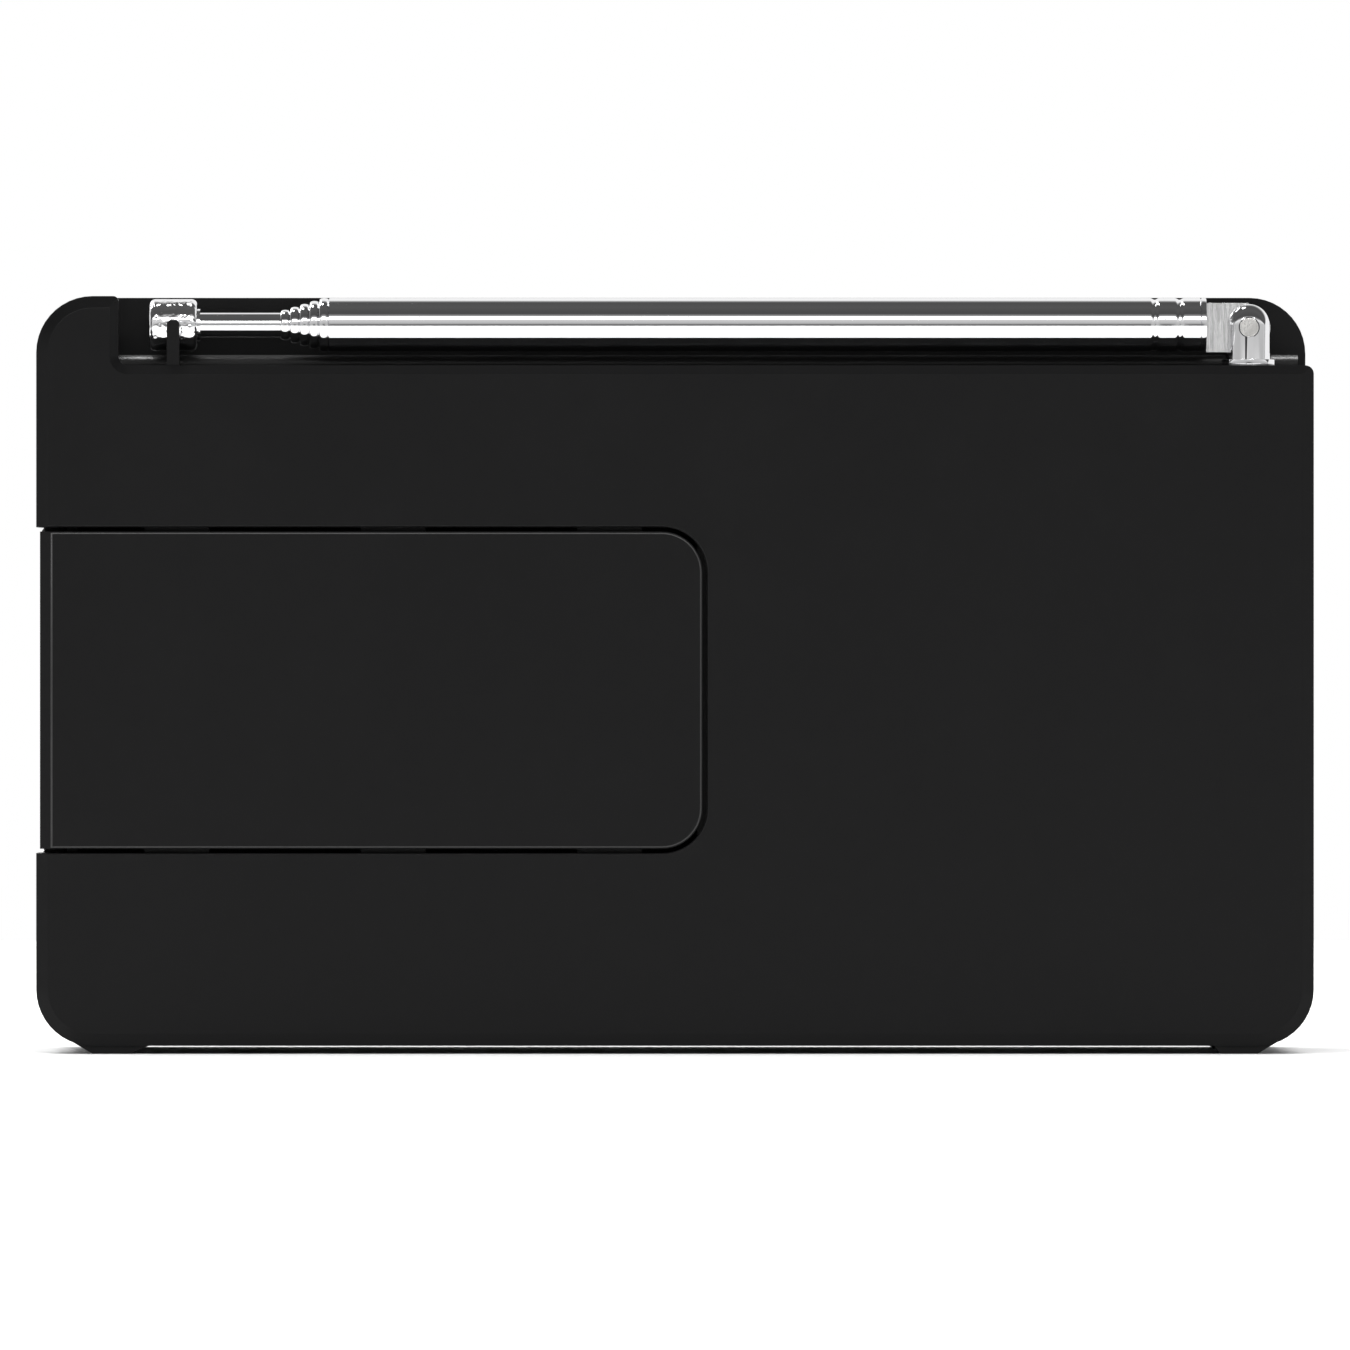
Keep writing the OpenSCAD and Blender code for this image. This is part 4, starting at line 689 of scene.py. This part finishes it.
def roundShells():
    doorLow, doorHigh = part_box("battery_door")
    reach = shellEdges["nearDoor"] * mm
    rear = cadBox[1][1]
    front = cadBox[0][1]
    top = cadBox[1][2]
    band = shellEdges["bandDepth"] * mm
    split = rear - shellEdges["splitDepth"] * mm

    floor = top - shellEdges["bayDrop"] * mm

    def nearDoor(a, b):
        return all(p.x > doorLow.x - reach and doorLow.z - reach < p.z < doorHigh.z + reach for p in (a, b))

    def nearLip(a, b):
        below, above = -shellEdges["lipBelow"] * mm, shellEdges["lipAbove"] * mm
        return all(below < p.z - floor < above for p in (a, b))

    polishHighlight = mouldedFinish("rubbedPlasticFinish", polishHighlightLook)
    cover = weldedCopy("rear_cover", "rearCoverShell")
    for finish in (finishes["cabinet_plastic"], polishHighlight, mouldedFinish("bayRootFinish", rootHighlightLook)):
        cover.data.materials.append(finish)
    fillet = shellEdges["fillet"] * mm
    # the fillet's faces take the root finish: a painted highlight along the root of the bay
    for face in cover.data.polygons:
        middle = face.center
        inRoot = split - flatness < middle.y < split + fillet and 0 < middle.z - floor < fillet
        slopes = 0.02 < face.normal.z < 0.999 and face.normal.y > 0.02
        if inRoot and slopes:
            face.material_index = rootHighlightSlot
    onRear = onPlane(rear)
    roundEdges(cover, lambda a, b: onRear(a, b) and not nearDoor(a, b) and not nearLip(a, b),
               shellEdges["faceRadius"])
    # the lip crease and the door opening take the polished finish, whose lighter tone is a painted highlight
    roundEdges(cover, lambda a, b: onRear(a, b) and nearLip(a, b), shellEdges["lipRadius"],
               least=shellEdges["lipLeast"], slot=polishHighlightSlot)
    roundEdges(cover, lambda a, b: onRear(a, b) and nearDoor(a, b), shellEdges["openingRadius"],
               slot=polishHighlightSlot)
    roundEdges(cover, onPlane(rear - band), shellEdges["sideRadius"])
    smoothOff(cover)
    finishPiece(cover, bodyOf["rear_cover"], ["rear_cover"], "cabinet_plastic")

    door = weldedCopy("battery_door", "batteryDoorPanel")
    for finish in (finishes["cabinet_plastic"], polishHighlight):
        door.data.materials.append(finish)
    # the door's edges take the polished finish, whose lighter tone is a painted highlight
    roundEdges(door, onRear, shellEdges["doorRadius"], slot=polishHighlightSlot)
    smoothOff(door)
    finishPiece(door, bodyOf["battery_door"], ["battery_door"], "cabinet_plastic")

    cabinet = weldedCopy("front_cabinet", "frontCabinetShell")
    roundEdges(cabinet, onPlane(front), shellEdges["faceRadius"])
    roundEdges(cabinet, onPlane(front + band), shellEdges["sideRadius"])
    atSplit = onPlane(split)
    roundEdges(cabinet, lambda a, b: atSplit(a, b) and min(a.z, b.z) > top - flatness,
               shellEdges["topRadius"], segments=4)
    smoothOff(cabinet)
    finishPiece(cabinet, bodyOf["front_cabinet"], ["front_cabinet"], "cabinet_plastic")


roundShells()
print("the shells have rounded creases")

# small parts: a merged copy with a fine bevel on each edge sharper than the angle, width in millimetres
bevelAngle = 40
softParts = {
    "speaker_magnet": 0.12, "speaker_screws": 0.06, "tuning_screw": 0.05, "volume_screw": 0.05,
    "tuning_capacitor": 0.12, "volume_control": 0.12, "band_switch": 0.1, "band_switch_knob": 0.05,
    "radio_chip": 0.05, "electrolytic_capacitors": 0.25, "if_transformers": 0.15, "ferrite_rod": 0.2,
    "rod_holders": 0.1, "jack_nut": 0.06, "board_screws": 0.06, "case_screws": 0.06,
    "negative_terminal": 0.06, "positive_terminal": 0.06, "contact_strip": 0.06, "antenna_pin": 0.04,
    "antenna_clip": 0.05, "antenna_lug": 0.05, "tuning_shaft": 0.05, "volume_shaft": 0.05,
    "power_led": 0.05, "dial_lens": 0.08,
}


def softenParts():
    for name, width in softParts.items():
        first, *rest = name.split("_")
        piece = weldedCopy(name, first + "".join(word.title() for word in rest) + "Body")
        applyModifier(piece, "BEVEL", width=width * mm, segments=2, limit_method="ANGLE",
                      angle_limit=math.radians(bevelAngle), use_clamp_overlap=True)
        smoothOff(piece)
        finishPiece(piece, bodyOf[name], [name], slotOf[name], nodes[name].data.materials[0])


softenParts()
print("small parts are softened")

antennaTurning = {
    "tubes": 5,
    "fall": 0.27,           # fall in radius from one tube to the next
    "steps": 96,
    "smoothUnder": 35,      # degrees
    "beadLength": 0.84,     # rolled bead at each mouth
    "beadDepth": 0.17,
    "beadSteps": 12,
    "beadGap": 0.08,        # plain wall between the tube's body and its bead
    "mouthDepth": 0.9,
    "mouthGap": 0.04,       # between the mouth and the next tube
    "wall": 0.16,
    "shoulder": (3, 3.2),   # an inner tube's wide root falls to its body between these distances
    "crimps": (2.5, 4.8),
    "crimpWidth": 0.42,
    "crimpDepth": 0.16,
    "crimpSteps": 8,
    "collar": 0.45,         # the plain ring at the knuckle end, then a groove
    "startEdge": ((0, 0.14), (0.04, 0.03), (0.12, 0)),   # (along, depth)
    "groove": ((0, 0), (0.06, 0.12), (0.14, 0)),
}


def beadPoints(end, r, length, depth):
    # the rolled bead at the mouth of a tube, crowned along its length
    steps = antennaTurning["beadSteps"]
    turned = [math.pi * i / steps for i in range(steps + 1)]
    return [(end - length / 2 * (1 + math.cos(a)), r - depth * (1 - math.sin(a))) for a in turned]


def arcPoints(x, r, radius, start, stop, count):
    # points of an arc about (x, r), angles in degrees from +X towards +radius
    turned = [math.radians(start + (stop - start) * i / count) for i in range(count + 1)]
    return [(x + radius * math.cos(a), r + radius * math.sin(a)) for a in turned]


def tubeEnds(name):
    low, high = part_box(name)
    centre = ((low.y + high.y) / 2, (low.z + high.z) / 2)
    return low.x, high.x, (high.z - low.z) / 2, centre


def crimpPoints(at, r, width, depth):
    steps = antennaTurning["crimpSteps"]
    return [(at + width * (2 * i / steps - 1),
             r - depth * 0.5 * (1 + math.cos(math.pi * (2 * i / steps - 1)))) for i in range(steps + 1)]


def tubeRadius(number):
    return tubeEnds("antenna_tube_1")[2] - antennaTurning["fall"] * mm * (number - 1)


def turnTubes():
    look = antennaTurning
    for number in range(1, look["tubes"] + 1):
        nodeName = f"antenna_tube_{number}"
        start, end, widest, (y, z) = tubeEnds(nodeName)
        r = tubeRadius(number)
        nextR = tubeRadius(number + 1) + look["mouthGap"] * mm
        if number == 1:
            outline = [(start + along * mm, r - depth * mm) for along, depth in look["startEdge"]]
            grooveStart = start + look["collar"] * mm
            outline += [(grooveStart + along * mm, r - depth * mm) for along, depth in look["groove"]]
            for at in look["crimps"]:
                outline += crimpPoints(start + at * mm, r, look["crimpWidth"] * mm, look["crimpDepth"] * mm)
        else:
            wideEnd, bodyStart = look["shoulder"]
            outline = [(start, widest), (start + wideEnd * mm, widest), (start + bodyStart * mm, r)]
        outline += [(end - (look["beadLength"] + look["beadGap"]) * mm, r)]
        outline += beadPoints(end, r, look["beadLength"] * mm, look["beadDepth"] * mm)
        bore = r - look["wall"] * mm
        inside = end - look["mouthDepth"] * mm
        outline += [(end, nextR), (inside, nextR), (inside, bore), (start, bore), outline[0]]
        outline = [(x - start, radius) for x, radius in outline]
        piece = turnPiece(f"antennaTube{number}", outline, (start, y, z), look["steps"])
        smoothOff(piece, look["smoothUnder"])
        finishPiece(piece, bodyOf[nodeName], [nodeName], "chrome")


turnTubes()

# the solid tip: rounded rims, a thin collar on the rod side and a faintly hammered skin
tipTurning = {"rim": 0.55, "collarRadius": 1.5, "collarLength": 0.25, "rodRadius": 1.15, "seat": 2.0,
              "rimSteps": 6}
hammerLook = {"tone": (0.84, 0.84, 0.85), "toneHigh": (0.9, 0.9, 0.91), "rough": 0.07, "roughWorn": 0.16,
              "dentScale": 2600.0, "grain": 0.12, "bump": 0.9, "depth": 0.05}


def turnTip():
    low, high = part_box("antenna_tip")
    r = (high.z - low.z) / 2
    y, z = (low.y + high.y) / 2, (low.z + high.z) / 2
    length = high.x - low.x
    neck = tipTurning["collarLength"] * mm
    collar = tipTurning["collarRadius"] * mm
    seat = tipTurning["seat"] * mm
    rim = tipTurning["rim"] * mm
    rod = tipTurning["rodRadius"] * mm
    outline = [(seat, 0), (seat, rod), (0, rod), (0, collar), (neck, collar)]
    outline += arcPoints(neck + rim, r - rim, rim, 180, 90, tipTurning["rimSteps"])
    outline += arcPoints(length - rim, r - rim, rim, 90, 0, tipTurning["rimSteps"])
    outline += [(length, 0)]
    piece = turnPiece("antennaTip", outline, (low.x, y, z), antennaTurning["steps"])
    smoothOff(piece, antennaTurning["smoothUnder"])
    finishPiece(piece, bodyOf["antenna_tip"], ["antenna_tip"], "chrome", hammeredFinish())


def hammeredFinish():
    paint, tree, shader, place = startMaterial("hammeredTipFinish", {"metallic": 1})
    dents = node(tree, "ShaderNodeTexVoronoi", {"Vector": place, "Scale": hammerLook["dentScale"]},
                 feature="SMOOTH_F1")
    grain = useGroup(tree, grainGroup, place, size=hammerLook["grain"], uneven=1.0)
    wireTone(tree, shader, grain.outputs["Patches"], hammerLook["tone"], hammerLook["toneHigh"])
    wireRoughness(tree, shader, grain.outputs["Patches"], hammerLook["rough"], hammerLook["roughWorn"])
    wireBump(tree, shader, dents.outputs["Distance"], hammerLook["bump"], hammerLook["depth"])
    return paint


turnTip()
print("the antenna is turned")

# the swivel: softened cheeks and pin, and a milled blade with fine upright lines
swivelLook = {"cheekRadius": 0.07, "bladeRadius": 0.12, "smoothUnder": 40, "linePitch": 0.42,
              "lineDepth": 0.03, "lineBump": 0.9, "stretch": (9000, 300, 300), "tone": (0.62, 0.62, 0.62),
              "toneHigh": (0.95, 0.95, 0.95), "rough": 0.16, "roughWorn": 0.26}
# painted shade lines: round the pin's hole, the dark sleeve round the pin, and the seam beside its middle
seamLines = {"ring": 0.11, "sleeveWall": 0.1, "sleeveLength": 0.26, "sleeveShort": 0.02, "seamAt": 0.31,
             "seamHalf": 0.15}
# the dark finish of the painted shade round the pin and in the seam
seamShadeLook = {"tone": (0.03, 0.03, 0.032), "rough": 0.5, "specular": 0.2, "grain": 0.1, "bump": 0.1}


def milledFinish():
    paint, tree, shader, place = startMaterial("milledBladeFinish", {"metallic": 1})
    lines = node(tree, "ShaderNodeTexWave", {"Vector": place, "Distortion": 1.2, "Detail": 2.0,
                                             "Scale": bandScale(swivelLook["linePitch"])},
                 wave_type="BANDS", bands_direction="X")
    mapping = node(tree, "ShaderNodeMapping", {"Vector": place, "Scale": swivelLook["stretch"]})
    fine = node(tree, "ShaderNodeTexNoise", {"Vector": mapping.outputs["Vector"], "Scale": 1.0,
                                             "Detail": 2.0})
    both = node(tree, "ShaderNodeMath", {0: lines.outputs["Fac"], 1: fine.outputs["Fac"]}, operation="ADD")
    wireTone(tree, shader, fine.outputs["Fac"], swivelLook["tone"], swivelLook["toneHigh"])
    wireRoughness(tree, shader, fine.outputs["Fac"], swivelLook["rough"], swivelLook["roughWorn"])
    wireBump(tree, shader, both.outputs[0], swivelLook["lineBump"], swivelLook["lineDepth"])
    return paint


def shadeSeams(piece):
    # painted shade round the pin and in the folded seam below it, where the gap and the groove would be dark
    piece.data.materials.append(finishes["chrome"])
    piece.data.materials.append(mouldedFinish("seamDirtFinish", seamShadeLook))
    low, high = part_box("antenna_pin")
    x, z = (low.x + high.x) / 2, (low.z + high.z) / 2
    reach = (high.z - low.z) / 2 + seamLines["ring"] * mm
    seam = x + seamLines["seamAt"] * mm
    half = seamLines["seamHalf"] * mm
    for face in piece.data.polygons:
        points = [piece.data.vertices[index].co for index in face.vertices]
        inRing = all(math.hypot(p.x - x, p.z - z) < reach for p in points)
        inSeam = all(abs(p.x - seam) < half and p.z < z and p.y > low.y for p in points)
        # these faces take the dark finish: painted shade
        if inRing or inSeam:
            face.material_index = 1


def softenSwivel():
    for name, made, width, finish in (
        ("antenna_knuckle", "swivelKnuckle", swivelLook["cheekRadius"], finishes["chrome"]),
        ("antenna_blade", "swivelBlade", swivelLook["bladeRadius"], milledFinish()),
    ):
        piece = weldedCopy(name, made)
        applyModifier(piece, "BEVEL", width=width * mm, segments=3, limit_method="ANGLE",
                      angle_limit=math.radians(bevelAngle), use_clamp_overlap=True)
        if name == "antenna_knuckle":
            shadeSeams(piece)
        smoothOff(piece, swivelLook["smoothUnder"])
        finishPiece(piece, bodyOf[name], [name], slotOf[name], finish)


softenSwivel()


def ringPin():
    # painted shade round the pin: a thin dark sleeve that stops just short of the pin's end
    low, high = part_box("antenna_pin")
    length = seamLines["sleeveLength"] * mm
    outer = (high.z - low.z) / 2 + seamLines["sleeveWall"] * mm
    place = ((low.x + high.x) / 2, high.y - length / 2 - seamLines["sleeveShort"] * mm, (low.z + high.z) / 2)
    bpy.ops.object.select_all(action="DESELECT")
    bpy.ops.mesh.primitive_cylinder_add(vertices=64, radius=outer, depth=length, location=place,
                                        rotation=(math.pi / 2, 0, 0))
    ring = settle(bpy.context.object, "swivelPinShadeRing")
    ring.data.materials.append(mouldedFinish("pinRingFinish", seamShadeLook))
    smoothOff(ring)
    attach(ring, bodyOf["antenna_knuckle"])


ringPin()
print("the swivel is softened")

# the dial: a ring of marks and plain numbers on the front of the turning disc
dialMarks = {"marks": 41, "from": 130, "to": 230, "outer": 12.6, "short": 0.9, "long": 1.6, "width": 0.16,
             "height": 0.05, "every": 5, "numbers": ("5", "6", "7", "8", "10", "12", "14", "16", "18"),
             "numberAt": 9.6, "size": 1.9, "tone": (0.72, 0.7, 0.62), "toneHigh": (0.8, 0.78, 0.7),
             "rough": 0.5, "roughWorn": 0.65}


def markFinish():
    paint, tree, shader, place = startMaterial("dialMarkFinish", {"specular": 0.3})
    grain = useGroup(tree, grainGroup, place, size=0.2, uneven=0.8)
    wireTone(tree, shader, grain.outputs["Patches"], dialMarks["tone"], dialMarks["toneHigh"])
    wireRoughness(tree, shader, grain.outputs["Patches"], dialMarks["rough"], dialMarks["roughWorn"])
    return paint


def printDial():
    low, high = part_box("dial_disc")
    x, z = (low.x + high.x) / 2, (low.z + high.z) / 2
    face = low.y
    deep = dialMarks["height"] * mm
    made = []
    span = dialMarks["to"] - dialMarks["from"]
    for index in range(dialMarks["marks"]):
        angle = math.radians(dialMarks["from"] + span * index / (dialMarks["marks"] - 1))
        long = index % dialMarks["every"] == 0
        length = dialMarks["long" if long else "short"] * mm
        out = dialMarks["outer"] * mm - length / 2
        place = (x + out * math.cos(angle), face - deep / 2, z + out * math.sin(angle))
        bpy.ops.object.select_all(action="DESELECT")
        bpy.ops.mesh.primitive_cube_add(size=1, location=place, rotation=(0, -angle, 0))
        mark = bpy.context.object
        mark.scale = (length, deep, dialMarks["width"] * mm)
        bpy.ops.object.transform_apply(location=True, rotation=True, scale=True)
        made.append(mark)
        if long:
            words = dialMarks["numbers"][index // dialMarks["every"]]
            out = dialMarks["numberAt"] * mm
            bpy.ops.object.select_all(action="DESELECT")
            bpy.ops.object.text_add(location=(x + out * math.cos(angle), face, z + out * math.sin(angle)),
                                    rotation=(math.pi / 2, math.pi - angle, 0))
            label = bpy.context.object
            label.data.body = words
            label.data.size = dialMarks["size"] * mm
            label.data.extrude = deep
            label.data.align_x = "CENTER"
            label.data.align_y = "CENTER"
            bpy.ops.object.convert(target="MESH")
            bpy.ops.object.transform_apply(location=True, rotation=True, scale=True)
            made.append(bpy.context.object)
    bpy.ops.object.select_all(action="DESELECT")
    for mark in made:
        mark.select_set(True)
    bpy.context.view_layer.objects.active = made[0]
    bpy.ops.object.join()
    piece = settle(bpy.context.object, "dialScale")
    piece.data.materials.clear()
    piece.data.materials.append(markFinish())
    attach(piece, bodyOf["dial_disc"])


printDial()
print("the dial is printed")

# the cells: a printed sleeve between two bare metal ends
cellLook = {"bareEnd": 1.5, "button": 3.2, "ring": 0.9, "ringInset": 4, "tone": (0.03, 0.075, 0.065),
            "ringTone": (0.5, 0.36, 0.1), "metal": (0.66, 0.66, 0.64), "rough": 0.2, "roughWorn": 0.34}


def cellFinish(name, buttonSide):
    paint, tree, shader, place = startMaterial(name + "Finish", {"coat": 0.5})
    low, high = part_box(name)
    plusSide, minusSide = (high.x, low.x) if buttonSide > 0 else (low.x, high.x)
    plusEnd = plusSide - buttonSide * cellLook["button"] * mm
    minusEnd = minusSide + buttonSide * cellLook["bareEnd"] * mm
    along = node(tree, "ShaderNodeSeparateXYZ", {"Vector": place}).outputs["X"]
    left = node(tree, "ShaderNodeMath", {0: along, 1: min(plusEnd, minusEnd)}, operation="LESS_THAN")
    right = node(tree, "ShaderNodeMath", {0: along, 1: max(plusEnd, minusEnd)}, operation="GREATER_THAN")
    bare = node(tree, "ShaderNodeMath", {0: left.outputs[0], 1: right.outputs[0]}, operation="MAXIMUM")
    ringMiddle = plusEnd - buttonSide * cellLook["ringInset"] * mm
    away = node(tree, "ShaderNodeMath", {0: along, 1: ringMiddle}, operation="SUBTRACT")
    size = node(tree, "ShaderNodeMath", {0: away.outputs[0]}, operation="ABSOLUTE")
    ring = node(tree, "ShaderNodeMath", {0: size.outputs[0], 1: cellLook["ring"] * mm}, operation="LESS_THAN")
    grain = useGroup(tree, grainGroup, place, size=1.2, uneven=0.6)
    sleeve = node(tree, "ShaderNodeMix", {"Factor": ring.outputs[0], "A": (*cellLook["tone"], 1),
                                          "B": (*cellLook["ringTone"], 1)}, data_type="RGBA")
    shown = node(tree, "ShaderNodeMix", {"Factor": bare.outputs[0], "A": sleeve.outputs["Result"],
                                         "B": (*cellLook["metal"], 1)}, data_type="RGBA")
    tree.links.new(shown.outputs["Result"], shader.inputs["Base Color"])
    tree.links.new(bare.outputs[0], shader.inputs["Metallic"])
    wireRoughness(tree, shader, grain.outputs["Patches"], cellLook["rough"], cellLook["roughWorn"])
    wireBump(tree, shader, grain.outputs["Height"], 0.15, 0.02)
    return paint


nodes["upper_cell"].data.materials[0] = cellFinish("upper_cell", 1)
nodes["lower_cell"].data.materials[0] = cellFinish("lower_cell", -1)
print("the cells are finished")
